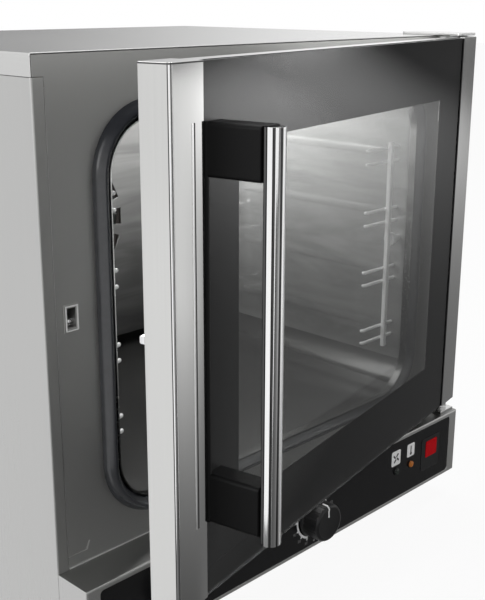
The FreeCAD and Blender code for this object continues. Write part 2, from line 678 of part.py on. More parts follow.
foot_w, foot_h, foot_t = MOTOR_FOOT
post_x, post_half = MOTOR_POST
motor = block(-foot_w, foot_w, motor_y, motor_y + foot_t, FAN_Z - foot_h, FAN_Z + foot_h)
stack = block(-MOTOR_HALF_W, MOTOR_HALF_W, stack_y, bell_y, FAN_Z - MOTOR_HALF_H, FAN_Z + MOTOR_HALF_H)
motor = motor.fuse(stack)
for x in (-post_x, post_x):
    post = block(x - post_half, x + post_half, motor_y, stack_y + 1, FAN_Z - post_half, FAN_Z + post_half)
    motor = motor.fuse(post)
motor = motor.fuse(bar("y", (0, FAN_Z), BELL_R, bell_y - 1, bell_y + BELL_LONG, 12))
nodes["fan_motor"] = motor.cut(rod_y(0, FAN_Z, SHAFT_R + RUN, YF, shaft_end)).removeSplitter()

ring_y = GUARD_Y + RING_FRONT
ring_ys = (ring_y, ring_y + RING_STEP)
leg_r = RING_TUBE - LEG_THIN
plate_w, plate_h, plate_t = HEATER_PLATE
heater = [
    block(-plate_w, plate_w, CHAMBER_BACK - plate_t, CHAMBER_BACK, leg_z - plate_h, leg_z + plate_h)
]
for y, sx in zip(ring_ys, (-1, 1)):
    start = Vector(RING_R * math.cos(math.pi / RING_SIDES), y, FAN_Z)
    path = [start]
    for i in range(RING_SIDES):
        a = 2 * math.pi * (i + 0.5) / RING_SIDES
        path.append(Vector(RING_R * math.cos(a), y, FAN_Z + RING_R * math.sin(a)))
    section = []
    for i in range(TUBE_SIDES + 1):
        a = 2 * math.pi * i / TUBE_SIDES
        section.append(start + Vector(RING_TUBE * math.cos(a), RING_TUBE * math.sin(a), 0))
    loop = Part.makePolygon(path + [start])
    heater.append(loop.makePipeShell([Part.makePolygon(section)], True, False, 1))
    heater.append(bar("y", (sx * LEG_X, leg_z), leg_r, y, CHAMBER_BACK + LEG_OUT, TUBE_SIDES))
bridge = bar("y", (0, FAN_Z + RING_R), leg_r, ring_ys[0], ring_ys[1], TUBE_SIDES)
nodes["ring_heater"] = bridge.fuse(heater).removeSplitter()

# Chamber lamp and temperature probe
cup = block(LAMP_X - LAMP_HALF_W, LAMP_X + LAMP_HALF_W, CHAMBER_BACK, CHAMBER_BACK + LAMP_DEEP,
            LAMP_Z - LAMP_HALF_H, LAMP_Z + LAMP_HALF_H)
cup_inside = block(LAMP_X - LAMP_HALF_W + SHEET, LAMP_X + LAMP_HALF_W - SHEET, CHAMBER_BACK - 5,
                   CHAMBER_BACK + LAMP_DEEP - SHEET, LAMP_Z - LAMP_HALF_H + SHEET, LAMP_Z + LAMP_HALF_H - SHEET)
nodes["lamp_housing"] = cup.cut(cup_inside)
lens_w = LAMP_HALF_W + LENS_LAP
lens_h = LAMP_HALF_H + LENS_LAP
lens = block(LAMP_X - lens_w, LAMP_X + lens_w, CHAMBER_BACK - LENS_T, CHAMBER_BACK, LAMP_Z - lens_h, LAMP_Z + lens_h)
front_rim = [e for e in lens.Edges if e.BoundBox.YMax < CHAMBER_BACK - LENS_T + 0.1]
nodes["lamp_lens"] = lens.makeChamfer(LENS_BEVEL, front_rim)
nodes["temperature_probe"] = bar("z", (PROBE_X, CHAMBER_BACK - PROBE_R), PROBE_R,
                                 FAN_Z - PROBE_LONG / 2, FAN_Z + PROBE_LONG / 2, 8)

# Tray supports: upright bars, bent wire prongs, studs with collars
prong_levels = []
for i in range(LEVELS):
    upper = TOP_LEVEL_Z - LEVEL_PITCH * i
    prong_levels += [upper, upper - PRONG_DROP]


def prong(bar_y, z):
    """Round wire behind a bar, from the chamber wall to a tip that is bent back."""
    y = bar_y + BAR_W / 2 + WIRE_R + RUN
    wall_end = Vector(CHAMBER_HALF - RUN, y, z)
    elbow = Vector(PRONG_TIP_X + TIP_BEND, y, z)
    tip = Vector(PRONG_TIP_X, y + TIP_BEND, z)
    rim = []
    for i in range(WIRE_SIDES + 1):
        a = 2 * math.pi * (i + 0.5) / WIRE_SIDES
        rim.append(wall_end + Vector(0, WIRE_R * math.cos(a), WIRE_R * math.sin(a)))
    path = Part.makePolygon([wall_end, elbow, tip])
    return path.makePipeShell([Part.makePolygon(rim)], True, False, 1)


bar_z0 = prong_levels[-1] - BAR_TAIL
bar_z1 = TOP_LEVEL_Z + BAR_ABOVE
bars = []
prongs = []
studs = []
for y in bar_ys:
    bars.append(block(BAR_X - BAR_T / 2, BAR_X + BAR_T / 2, y - BAR_W / 2, y + BAR_W / 2, bar_z0, bar_z1))
    prongs += [prong(y, z) for z in prong_levels]
    seat = BAR_X + BAR_T / 2
    stud = bar("x", (y, STUD_Z), STUD_R, seat, CHAMBER_HALF, 8)
    collar = bar("x", (y, STUD_Z), COLLAR_R, seat, seat + COLLAR_T, 12)
    studs.append(stud.fuse(collar).removeSplitter())
for side_name, flip in (("left", True), ("right", False)):
    for kind, solids in (("rack_bars", bars), ("rack_prongs", prongs)):
        shapes = [mirrored(s) if flip else s for s in solids]
        nodes[side_name + "_" + kind] = Part.makeCompound(shapes)
nodes["rack_studs"] = Part.makeCompound(studs + [mirrored(s) for s in studs])

# Door catch: framed socket in the front panel and a sprung roller carrier
pocket_z0 = CATCH_Z - POCKET_LOW
pocket_z1 = CATCH_Z + CATCH_H / 2 + POCKET_TOP
pocket_half = CATCH_W / 2 + CATCH_WALL
pocket_back = FACE_BACK + POCKET_LONG
hole_half = CATCH_W / 2 - CATCH_WALL
hole_z0 = CATCH_Z - CATCH_H / 2 + CATCH_WALL
hole_z1 = CATCH_Z + CATCH_H / 2 - CATCH_WALL
frame_half = CATCH_W / 2 + CATCH_FRAME
frame_rise = CATCH_H / 2 + CATCH_FRAME
socket = block(CATCH_X - frame_half, CATCH_X + frame_half, FACE_Y - CATCH_PLATE, FACE_Y,
               CATCH_Z - frame_rise, CATCH_Z + frame_rise)
snug = CATCH_W / 2 - RUN
socket = socket.fuse(
    block(CATCH_X - snug, CATCH_X + snug, FACE_Y - CATCH_PLATE / 2, FACE_BACK + CATCH_PLATE / 2,
          CATCH_Z - CATCH_H / 2 + RUN, CATCH_Z + CATCH_H / 2 - RUN)
)
socket = socket.fuse(
    block(CATCH_X - pocket_half, CATCH_X + pocket_half, FACE_BACK, pocket_back, pocket_z0, pocket_z1)
)
socket = socket.cut(
    block(CATCH_X - hole_half, CATCH_X + hole_half, YF - 5, FACE_BACK + 5, hole_z0, hole_z1)
)
pocket_in = pocket_half - SHEET
socket = socket.cut(
    block(CATCH_X - pocket_in, CATCH_X + pocket_in, FACE_BACK + SHEET, pocket_back - SHEET,
          pocket_z0 + SHEET, pocket_z1 - SHEET)
)
nodes["catch_socket"] = socket.removeSplitter()
striker_z0 = CATCH_Z - STRIKER_DROP
roller_z = striker_z0 - ROLLER_CLEAR - ROLLER_R
roller_y = FACE_BACK + ROLLER_IN
carrier_half = pocket_in - CARRIER_SIDE
roller = rod_x(roller_y, roller_z, ROLLER_R, CATCH_X - carrier_half, CATCH_X + carrier_half)
carrier = block(CATCH_X - carrier_half, CATCH_X + carrier_half, roller_y - CARRIER_HALF_Y,
                roller_y + CARRIER_HALF_Y, pocket_z0 + SHEET + CATCH_TRAVEL, roller_z)
nodes["catch_roller"] = roller.fuse(carrier).removeSplitter()

# Hinge plates with their pins
LEAF_T = 3.0
LEAF_R = 5.0
LEAF_REACH = 13.0
LOW_LEAF_W = 26.5
TOP_LEAF_W = 32.5
TOP_LEAF_BACK = 46.0
PIN_SHOULDER = 2.0
SHOULDER_GAP = 0.1
PIN_SHORT = 1.5
pin_low = DOOR_Z0 + PLUG_H - PIN_SHORT
pin_high = DOOR_Z1 - PLUG_H + PIN_SHORT
hinge_low = block(DOOR_X - LOW_LEAF_W, DOOR_X, HINGE_Y - LEAF_REACH, YF - LEAF_T, LEDGE_Z, LEDGE_Z + LEAF_T)
hinge_low = hinge_low.fuse(rod_z(HINGE_X, HINGE_Y, PIN_R + PIN_SHOULDER, LEDGE_Z + 1, DOOR_Z0 - SHOULDER_GAP))
hinge_low = hinge_low.fuse(rod_z(HINGE_X, HINGE_Y, PIN_R, LEDGE_Z + 1, pin_low))
nodes["lower_hinge_plate"] = hinge_low.removeSplitter()
hinge_top = block(DOOR_X - TOP_LEAF_W, DOOR_X, HINGE_Y - LEAF_REACH, YF + TOP_LEAF_BACK, TOP_Z, TOP_Z + LEAF_T)
hinge_top = round_edges(hinge_top, LEAF_R, lambda b: b.ZLength > 2 and b.XLength < 0.1 and b.YLength < 0.1)
hinge_top = hinge_top.fuse(rod_z(HINGE_X, HINGE_Y, PIN_R, pin_high, TOP_Z + 1))
nodes["upper_hinge_plate"] = hinge_top.removeSplitter()

# Door frame
left = block(-DOOR_X, GLASS_L, DOOR_Y, DOOR_BACK, DOOR_Z0, DOOR_Z1)
left = round_edges(left, BEND_R, lambda b: b.ZLength > 100 and b.XMax < -DOOR_X + 0.1)
left = left.cut(
    block(-DOOR_X + UPRIGHT_WALL, GLASS_L - UPRIGHT_WALL, DOOR_Y + UPRIGHT_WALL, DOOR_BACK - UPRIGHT_WALL,
          DOOR_Z0 - 1, DOOR_Z1 - UPRIGHT_WALL)
)
fold_x = -DOOR_X + FOLD_IN
fold = block(fold_x, fold_x + FOLD_GAP, DOOR_Y - 1, DOOR_Y + FOLD_GAP, DOOR_Z0 - 1, DOOR_Z1 + 1)
door_nodes["door_left_upright"] = left.cut(fold)
right = block(GLASS_R, DOOR_X, DOOR_Y, DOOR_BACK, DOOR_Z0, DOOR_Z1)
right = round_edges(right, BEND_R, lambda b: b.ZLength > 100 and b.XMin > DOOR_X - 0.1)
plug_x0 = GLASS_R + UPRIGHT_WALL
plug_x1 = DOOR_X - UPRIGHT_WALL
plug_y0 = DOOR_Y + UPRIGHT_WALL
plug_y1 = DOOR_BACK - UPRIGHT_WALL
right_bore = block(plug_x0, plug_x1, plug_y0, plug_y1, DOOR_Z0 - 1, DOOR_Z1 + 1)
door_nodes["door_right_upright"] = right.cut(right_bore)
plugs = []
for z0 in (DOOR_Z0, DOOR_Z1 - PLUG_H):
    plug = block(plug_x0 + RUN, plug_x1 - RUN, plug_y0 + RUN, plug_y1 - RUN, z0, z0 + PLUG_H)
    plugs.append(plug.cut(rod_z(HINGE_X, HINGE_Y, PIN_R + RUN, z0 - 1, z0 + PLUG_H + 1)))
door_nodes["door_hinge_bushes"] = Part.makeCompound(plugs)

# Door panes, printed mask and rails between the panes
pane_x0 = GLASS_L + FIT
pane_x1 = GLASS_R - FIT
pane_z0 = DOOR_Z0 + PANE_EDGE
pane_z1 = DOOR_Z1 - PANE_EDGE
mask_y = PANE_Y + PANE_T
door_nodes["outer_glass"] = block(pane_x0, pane_x1, PANE_Y, mask_y, pane_z0, pane_z1)
mask = block(pane_x0, pane_x1, mask_y, mask_y + PRINT_T, pane_z0, pane_z1)
window = block(-WINDOW_X, WINDOW_X, mask_y - 1, mask_y + 2, WINDOW_Z0, WINDOW_Z1)
door_nodes["glass_mask"] = mask.cut(window)
INNER_LOW = 5.0
INNER_TOP = 34.5
INNER_SIDE = 3.0
inner_y = INNER_BACK - PANE_T
inner_x = -GLASS_L - INNER_SIDE
inner_z0 = DOOR_Z0 + INNER_LOW
inner_z1 = DOOR_Z1 - INNER_TOP
door_nodes["inner_glass"] = block(-inner_x, inner_x, inner_y, INNER_BACK, inner_z0, inner_z1)
rail_y0 = mask_y + PRINT_T
LOW_RAIL_H = 26.0
TOP_RAIL_H = 44.0
for name, z0, z1 in (
    ("door_bottom_rail", DOOR_Z0, DOOR_Z0 + LOW_RAIL_H),
    ("door_top_rail", DOOR_Z1 - TOP_RAIL_H, DOOR_Z1),
):
    rail = block(GLASS_L, GLASS_R, rail_y0, inner_y, z0, z1)
    inside = block(GLASS_L + UPRIGHT_WALL, GLASS_R - UPRIGHT_WALL, rail_y0 - 1, inner_y - UPRIGHT_WALL,
                   z0 + UPRIGHT_WALL, z1 - UPRIGHT_WALL)
    door_nodes[name] = rail.cut(inside)
CLIP_T = 1.6
CLIP_H = 24.0
CLIP_LAP = 5.0
CLIP_LOW = 40.0
CLIP_TOP = 60.0
clips = []
for x0, x1 in ((GLASS_L, -inner_x + CLIP_LAP), (inner_x - CLIP_LAP, GLASS_R)):
    for z in (inner_z0 + CLIP_LOW, inner_z1 - CLIP_TOP):
        clips.append(block(x0, x1, INNER_BACK, INNER_BACK + CLIP_T, z, z + CLIP_H))
door_nodes["glass_clips"] = Part.makeCompound(clips)

# Fluted handle bar on a dark core and two brackets
grip_front = DOOR_Y - GRIP_REACH
grip_back = grip_front + GRIP_DEPTH
p0 = Vector(GRIP_X - GRIP_W / 2, grip_back, GRIP_Z0)
p1 = Vector(GRIP_X, grip_front, GRIP_Z0)
p2 = Vector(GRIP_X + GRIP_W / 2, grip_back, GRIP_Z0)
bow = Part.Arc(p0, p1, p2).toShape()
grip_face = Part.Face(Part.Wire([bow, Part.makeLine(p2, p0)]))
grip = grip_face.extrude(Vector(0, 0, GRIP_Z1 - GRIP_Z0))
bow_r = bow.Curve.Radius
bow_c = bow.Curve.Center
for i in range(FLUTES):
    a = math.radians(FLUTE_STEP * (i - (FLUTES - 1) / 2))
    x = bow_c.x + bow_r * math.sin(a)
    y = bow_c.y - bow_r * math.cos(a)
    grip = grip.cut(rod_z(x, y, FLUTE_R, GRIP_Z0 - 1, GRIP_Z1 + 1))
door_nodes["handle_bar"] = grip
core_y1 = grip_back + CORE_T
core_half = GRIP_W / 2 - CORE_INSET
core_z1 = GRIP_Z1 + CAP_OVER
core = block(GRIP_X - core_half, GRIP_X + core_half, grip_back, core_y1, GRIP_Z0 + CORE_INSET, core_z1)
door_nodes["handle_core"] = round_edges(core, CORE_T / 3, lambda b: b.ZLength > 100 and b.YMin > core_y1 - 0.1)
low_z0 = GRIP_Z0 + LOWER_BRACKET_UP
for name, z0, z1 in (
    ("upper", core_z1 - UPPER_BRACKET_H, core_z1),
    ("lower", low_z0, low_z0 + LOWER_BRACKET_H),
):
    bracket = block(GRIP_X - BRACKET_W / 2, GRIP_X + BRACKET_W / 2, core_y1, PANE_Y, z0, z1)
    bracket = round_edges(bracket, BRACKET_R, lambda b: b.YLength > 30)
    door_nodes["handle_" + name + "_bracket"] = bracket

# Striker on the free upright
striker_z1 = striker_z0 + STRIKER_H
striker_end = DOOR_BACK + STRIKER_LONG
striker = block(CATCH_X - STRIKER_HALF, CATCH_X + STRIKER_HALF, DOOR_BACK, striker_end, striker_z0, striker_z1)
striker = round_edges(striker, STRIKER_R, lambda b: b.YMin > striker_end - 0.1 and b.ZLength < 0.1)
plate_half, plate_t, plate_lap = STRIKER_PLATE
plate = block(CATCH_X - plate_half, CATCH_X + plate_half, DOOR_BACK, DOOR_BACK + plate_t,
              striker_z0 - plate_lap, striker_z1 + plate_lap)
door_nodes["door_striker"] = striker.fuse(plate).removeSplitter()

# Swing the door to its resting angle and write every piece
for name, shape in door_nodes.items():
    nodes[name] = shape.rotated(Vector(HINGE_X, HINGE_Y, 0), Vector(0, 0, 1), DOOR_OPEN)

for name, shape in nodes.items():
    shape.exportStep("parts/" + name + ".step")
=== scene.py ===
import json
import math
from collections import namedtuple

import bmesh
import bpy
from mathutils import Matrix, Vector

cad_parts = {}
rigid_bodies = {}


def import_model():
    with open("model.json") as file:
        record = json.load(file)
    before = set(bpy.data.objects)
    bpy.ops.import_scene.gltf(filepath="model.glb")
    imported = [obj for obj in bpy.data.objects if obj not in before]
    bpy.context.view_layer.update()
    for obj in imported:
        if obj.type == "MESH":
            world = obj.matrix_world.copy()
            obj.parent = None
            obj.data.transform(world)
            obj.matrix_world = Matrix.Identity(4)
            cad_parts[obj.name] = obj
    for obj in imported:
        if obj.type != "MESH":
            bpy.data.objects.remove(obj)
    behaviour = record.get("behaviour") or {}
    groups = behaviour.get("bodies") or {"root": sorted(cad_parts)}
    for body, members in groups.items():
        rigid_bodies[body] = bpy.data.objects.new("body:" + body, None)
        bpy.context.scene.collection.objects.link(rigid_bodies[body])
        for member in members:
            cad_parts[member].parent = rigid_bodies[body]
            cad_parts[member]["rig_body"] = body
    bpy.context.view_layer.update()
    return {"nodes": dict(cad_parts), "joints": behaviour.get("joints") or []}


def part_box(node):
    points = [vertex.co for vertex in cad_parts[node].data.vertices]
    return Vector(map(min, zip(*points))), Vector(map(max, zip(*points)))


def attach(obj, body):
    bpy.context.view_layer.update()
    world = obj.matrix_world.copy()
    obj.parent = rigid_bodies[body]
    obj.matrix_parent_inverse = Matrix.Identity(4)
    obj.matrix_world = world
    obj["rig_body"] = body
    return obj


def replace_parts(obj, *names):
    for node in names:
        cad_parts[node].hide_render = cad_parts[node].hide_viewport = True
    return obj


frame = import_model()
MM = 0.001

# Where the oven's own pieces stand, read from the frame
nodes = frame["nodes"]
joints = {joint["name"]: joint for joint in frame["joints"]}
OVEN = nodes["front_panel"]["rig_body"]
DOOR = nodes["handle_bar"]["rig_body"]
hinge = Vector(joints["door_swing"]["pos_m"])
ajar_angle = math.radians(-joints["door_swing"]["range_deg"][0])
AJAR = Matrix.Translation(hinge) @ Matrix.Rotation(ajar_angle, 4, "Z") @ Matrix.Translation(-hinge)
SHUT = AJAR.inverted()
FASCIA_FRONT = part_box("control_fascia")[0].y
FACE_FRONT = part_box("door_seal")[1].y
Corner = namedtuple("Corner", "x y z")


def shut_box(node):
    """Box of a door node while the door is shut."""
    places = [SHUT @ v.co for v in nodes[node].data.vertices]
    low = Vector([min(p[i] for p in places) for i in range(3)])
    high = Vector([max(p[i] for p in places) for i in range(3)])
    return low, high


def in_mm(box):
    """Low and high corner of a box, in millimetres."""
    return [Corner(*(part / MM for part in corner)) for corner in box]


def middle(box):
    """Middle of a box as the front shows it."""
    low, high = box
    return (low.x + high.x) / 2, (low.z + high.z) / 2


# Material steps
GRAIN_SPAN = (0.3, 0.7)
COLOUR_A = 6
COLOUR_B = 7
COLOUR_RESULT = 2


def finish(name, colour, rough, metal=0.0):
    """New node material; returns it with its tree and its Principled shader."""
    mat = bpy.data.materials.new(name)
    mat.use_nodes = True
    shader = mat.node_tree.nodes["Principled BSDF"]
    shader.inputs["Base Color"].default_value = (*colour, 1.0)
    shader.inputs["Roughness"].default_value = rough
    shader.inputs["Metallic"].default_value = metal
    return mat, mat.node_tree, shader


def grain(tree, stretch, detail=4.0, warp=0.0):
    """Noise over the piece's own metres, with stretch as its cycles per metre along X, Y and Z."""
    coords = tree.nodes.new("ShaderNodeTexCoord")
    mapping = tree.nodes.new("ShaderNodeMapping")
    mapping.inputs["Scale"].default_value = stretch
    noise = tree.nodes.new("ShaderNodeTexNoise")
    noise.inputs["Scale"].default_value = 1.0
    noise.inputs["Detail"].default_value = detail
    noise.inputs["Roughness"].default_value = 0.6
    noise.inputs["Distortion"].default_value = warp
    tree.links.new(coords.outputs["Object"], mapping.inputs["Vector"])
    tree.links.new(mapping.outputs["Vector"], noise.inputs["Vector"])
    return noise.outputs["Fac"]


def coordinate(tree, axis):
    """One coordinate of the surface, in metres."""
    coords = tree.nodes.new("ShaderNodeTexCoord")
    split = tree.nodes.new("ShaderNodeSeparateXYZ")
    tree.links.new(coords.outputs["Object"], split.inputs["Vector"])
    return split.outputs[axis]


def remapped(tree, value, source, target, curve="LINEAR"):
    """Value carried from one range to another."""
    spread = tree.nodes.new("ShaderNodeMapRange")
    spread.interpolation_type = curve
    for slot, bound in zip(("From Min", "From Max", "To Min", "To Max"), (*source, *target)):
        spread.inputs[slot].default_value = bound
    tree.links.new(value, spread.inputs["Value"])
    return spread.outputs["Result"]


def worked(tree, operation, *values):
    """Arithmetic on values, each another node's output or a number."""
    step = tree.nodes.new("ShaderNodeMath")
    step.operation = operation
    for slot, value in zip(step.inputs, values):
        if isinstance(value, bpy.types.NodeSocket):
            tree.links.new(value, slot)
        else:
            slot.default_value = value
    return step.outputs["Value"]


def blended(tree, first, second, share):
    """Mean of two grains, with share as the second one's weight."""
    mix = tree.nodes.new("ShaderNodeMix")
    mix.inputs["Factor"].default_value = share
    tree.links.new(first, mix.inputs["A"])
    tree.links.new(second, mix.inputs["B"])
    return mix.outputs["Result"]


def tint(tree, shader, fac, dark, light):
    """Colours the surface between two tones by a grain."""
    tones = tree.nodes.new("ShaderNodeValToRGB")
    for stop, place, colour in zip(tones.color_ramp.elements, GRAIN_SPAN, (dark, light)):
        stop.position = place
        stop.color = (*colour, 1.0)
    tree.links.new(fac, tones.inputs["Fac"])
    tree.links.new(tones.outputs["Color"], shader.inputs["Base Color"])


def toned(tree, gain):
    """Multiplies the surface's colour by a value."""
    shader = tree.nodes["Principled BSDF"]
    mix = tree.nodes.new("ShaderNodeMix")
    mix.data_type = "RGBA"
    mix.blend_type = "MULTIPLY"
    mix.inputs["Factor"].default_value = 1.0
    tree.links.new(shader.inputs["Base Color"].links[0].from_socket, mix.inputs[COLOUR_A])
    tree.links.new(gain, mix.inputs[COLOUR_B])
    tree.links.new(mix.outputs[COLOUR_RESULT], shader.inputs["Base Color"])


def gloss(tree, shader, fac, smooth, rough):
    """Varies the roughness between two values by a grain."""
    tree.links.new(remapped(tree, fac, GRAIN_SPAN, (smooth, rough)), shader.inputs["Roughness"])


def relief(tree, shader, fac, depth, strength=1.0):
    """Raises the surface by a grain, with depth in metres."""
    bump = tree.nodes.new("ShaderNodeBump")
    bump.inputs["Strength"].default_value = strength
    bump.inputs["Distance"].default_value = depth
    tree.links.new(fac, bump.inputs["Height"])
    tree.links.new(bump.outputs["Normal"], shader.inputs["Normal"])


def surfaced(tree, share, first, second):
    """Shows a mixture of two shaders."""
    mix = tree.nodes.new("ShaderNodeMixShader")
    tree.links.new(share, mix.inputs["Fac"])
    tree.links.new(first, mix.inputs[1])
    tree.links.new(second, mix.inputs[2])
    tree.links.new(mix.outputs["Shader"], tree.nodes["Material Output"].inputs["Surface"])


def scaled(colour, factor):
    """Colour times a factor, no brighter than white."""
    return tuple(min(1.0, part * factor) for part in colour)


# Finishes of the oven
ALONG = {"x": (6.0, 900.0, 900.0), "y": (900.0, 6.0, 900.0), "z": (900.0, 900.0, 6.0)}


def brushed(name, colour, smooth, rough, along, streak=0.02, metal=1.0):
    """Sheet steel with fine lines drawn along one axis and faint cloudy tone."""
    mat, tree, shader = finish(name, colour, smooth, metal)
    lines = grain(tree, ALONG[along], detail=3.0)
    clouds = grain(tree, (4.0, 4.0, 3.0), detail=2.0, warp=0.6)
    both = blended(tree, lines, clouds, 0.4)
    tint(tree, shader, both, scaled(colour, 1 - streak), scaled(colour, 1 + streak))
    gloss(tree, shader, both, smooth, rough)
    return mat


def baked(name, colour, smooth, rough, along, heights, least, metal):
    """Brushed steel with long streaks, partly heat stains and partly painted reflections, and painted shade
    that darkens it towards the foot; heights are in metres.
    """
    mat = brushed(name, colour, smooth, rough, along, 0.03, metal)
    tree = mat.node_tree
    shade = remapped(tree, coordinate(tree, "Z"), heights, (least, 1.0), "SMOOTHSTEP")
    stain_and_reflection_streaks = grain(tree, (4.0, 4.0, 24.0), detail=3.0, warp=0.9)
    streak_level = remapped(tree, stain_and_reflection_streaks, (0.35, 0.65), (0.72, 1.1))
    toned(tree, worked(tree, "MULTIPLY", shade, streak_level))
    return mat


def bright(name, colour, smooth, rough):
    """Polished or plated metal with a few soft marks."""
    mat, tree, shader = finish(name, colour, smooth, 1.0)
    marks = grain(tree, (60.0, 60.0, 60.0), detail=6.0, warp=0.4)
    tint(tree, shader, marks, scaled(colour, 0.92), scaled(colour, 1.03))
    gloss(tree, shader, marks, smooth, rough)
    return mat


def moulded(name, colour, smooth, rough, cell=900.0, depth=2.5e-5, shine=0.5):
    """Plastic, print or rubber with a fine skin and faint wear."""
    mat, tree, shader = finish(name, colour, smooth)
    shader.inputs["Specular IOR Level"].default_value = shine
    skin = grain(tree, (cell, cell, cell), detail=2.0)
    wear = grain(tree, (14.0, 14.0, 14.0), detail=4.0, warp=0.5)
    both = blended(tree, skin, wear, 0.5)
    tint(tree, shader, both, scaled(colour, 0.8), scaled(colour, 1.25))
    gloss(tree, shader, both, smooth, rough)
    if depth:
        relief(tree, shader, skin, depth, 0.4)
    return mat


def aged(mat, heights, top_shine):
    """Rubber whose shine fades with height: painted shade that darkens the top of the seal."""
    tree = mat.node_tree
    shine = tree.nodes["Principled BSDF"].inputs["Specular IOR Level"]
    level = remapped(tree, coordinate(tree, "Z"), heights, (shine.default_value, top_shine), "SMOOTHSTEP")
    tree.links.new(level, shine)


def rubbed(mat, across, heights, gain):
    """Painted highlight: steel made brighter towards the top of the hinge side; across and heights are in
    metres.
    """
    tree = mat.node_tree
    sideways = remapped(tree, coordinate(tree, "X"), across, (0.0, 1.0), "SMOOTHSTEP")
    upwards = remapped(tree, coordinate(tree, "Z"), heights, (0.0, gain - 1.0), "SMOOTHSTEP")
    toned(tree, worked(tree, "MULTIPLY_ADD", sideways, upwards, 1.0))


def pane(name, colour, smooth, rough):
    """Clear glass with faint wiping marks, which lets lamp light through."""
    mat, tree, shader = finish(name, colour, smooth)
    shader.inputs["Transmission Weight"].default_value = 1.0
    shader.inputs["IOR"].default_value = 1.34
    wipes = grain(tree, (3.0, 3.0, 9.0), detail=5.0, warp=1.2)
    tint(tree, shader, wipes, scaled(colour, 0.97), colour)
    if rough > smooth:
        gloss(tree, shader, wipes, smooth, rough)
    clear = tree.nodes.new("ShaderNodeBsdfTransparent")
    clear.inputs["Color"].default_value = (*colour, 1.0)
    path = tree.nodes.new("ShaderNodeLightPath")
    surfaced(tree, path.outputs["Is Shadow Ray"], shader.outputs["BSDF"], clear.outputs["BSDF"])
    return mat


side_steel = brushed("side_steel", (0.5, 0.5, 0.495), 0.27, 0.31, "z")
top_steel = brushed("top_steel", (0.6, 0.6, 0.595), 0.23, 0.27, "y")
# face_steel is the casing steel made darker, partly the front's own tone and partly painted shade
face_steel = brushed("face_steel", (0.44, 0.44, 0.43), 0.54, 0.58, "z")
# Painted highlight on the front panel's top strip towards the hinge side
rubbed(face_steel, (-0.1, 0.1), (0.556, 0.57), 2.1)
# ledge_steel is a dark copy of the casing steel: painted shade on the housing's ledge
ledge_steel = brushed("ledge_steel", (0.27, 0.27, 0.264), 0.34, 0.38, "x")
door_steel = brushed("door_steel", (0.64, 0.64, 0.632), 0.09, 0.12, "z")
# The door steel made dark: painted shade on the door frame's inner side
shaded_inner_steel = brushed("shaded_inner_steel", (0.17, 0.17, 0.167), 0.4, 0.46, "z")
# Painted shade: the chamber steel darkens towards the foot, and its streaks are partly painted reflections
chamber_steel = baked("chamber_steel", (0.8, 0.8, 0.79), 0.12, 0.18, "y", (0.17, 0.5), 0.26, 0.45)
# hearth_steel is the chamber steel painted nearly black: painted shade on the chamber floor
hearth_steel = brushed("hearth_steel", (0.05, 0.05, 0.049), 0.16, 0.22, "y", 0.03, 0.6)
# Painted shade: the guard steel darkens towards the foot, and its streaks are partly painted reflections
guard_steel = baked("guard_steel", (0.52, 0.52, 0.512), 0.28, 0.36, "x", (0.12, 0.5), 0.2, 0.6)
wire_plate = brushed("wire_plate", (0.92, 0.92, 0.92), 0.22, 0.28, "z", 0.04, 0.15)
polished = bright("polished", (0.8, 0.8, 0.81), 0.08, 0.16)
# Painted shade: the lip steel darkens towards the foot
lip_steel = baked("lip_steel", (0.85, 0.85, 0.84), 0.2, 0.3, "x", (0.17, 0.42), 0.12, 1.0)
# Pale steel for the painted highlights of the front panel's fold
fold_highlight_steel = bright("fold_highlight_steel", (0.7, 0.7, 0.69), 0.34, 0.42)
# Pale steel for painted highlights on the catch's rim and the ledge join
highlight_steel = brushed("highlight_steel", (0.9, 0.9, 0.89), 0.3, 0.4, "x", 0.03, 0.4)
grip_metal = brushed("grip_metal", (0.92, 0.92, 0.92), 0.08, 0.14, "z", streak=0.03)
satin_metal = brushed("satin_metal", (0.95, 0.95, 0.95), 0.3, 0.38, "z", 0.03, 0.15)
flute_metal = brushed("flute_metal", (0.07, 0.07, 0.07), 0.3, 0.4, "z")
fin_metal = brushed("fin_metal", (0.09, 0.09, 0.09), 0.3, 0.4, "z")
screw_steel = bright("screw_steel", (0.55, 0.55, 0.54), 0.22, 0.36)
fan_metal = brushed("fan_metal", (0.5, 0.5, 0.51), 0.3, 0.42, "x")
seal_rubber = moulded("seal_rubber", (0.03, 0.032, 0.037), 0.2, 0.26, cell=90.0, depth=0, shine=0.75)
# Painted shade: the seal's shine fades towards its top
aged(seal_rubber, (0.475, 0.52), 0.02)
fascia_black = moulded("fascia_black", (0.008, 0.008, 0.0085), 0.2, 0.28, cell=1200.0, depth=0, shine=0.25)
knob_black = moulded("knob_black", (0.01, 0.01, 0.0105), 0.32, 0.45, shine=0.35)
bracket_black = moulded("bracket_black", (0.004, 0.004, 0.0042), 0.4, 0.5, depth=0, shine=0.12)
foot_rubber = moulded("foot_rubber", (0.02, 0.02, 0.02), 0.6, 0.75)
unit_plastic = moulded("unit_plastic", (0.5, 0.48, 0.43), 0.45, 0.6)
motor_paint = moulded("motor_paint", (0.05, 0.05, 0.055), 0.35, 0.5, cell=300.0)
heater_sheath = moulded("heater_sheath", (0.07, 0.06, 0.055), 0.4, 0.55, cell=200.0)
wool = moulded("wool", (0.6, 0.53, 0.36), 0.85, 0.95, cell=350.0, depth=6e-4)
print_black = moulded("print_black", (0.005, 0.005, 0.0054), 0.3, 0.34, cell=40.0, depth=0, shine=0.1)
print_white = moulded("print_white", (0.9, 0.9, 0.9), 0.4, 0.5, cell=700.0, depth=0, shine=0.2)
print_grey = moulded("print_grey", (0.22, 0.22, 0.22), 0.4, 0.5, cell=700.0, depth=0, shine=0.2)
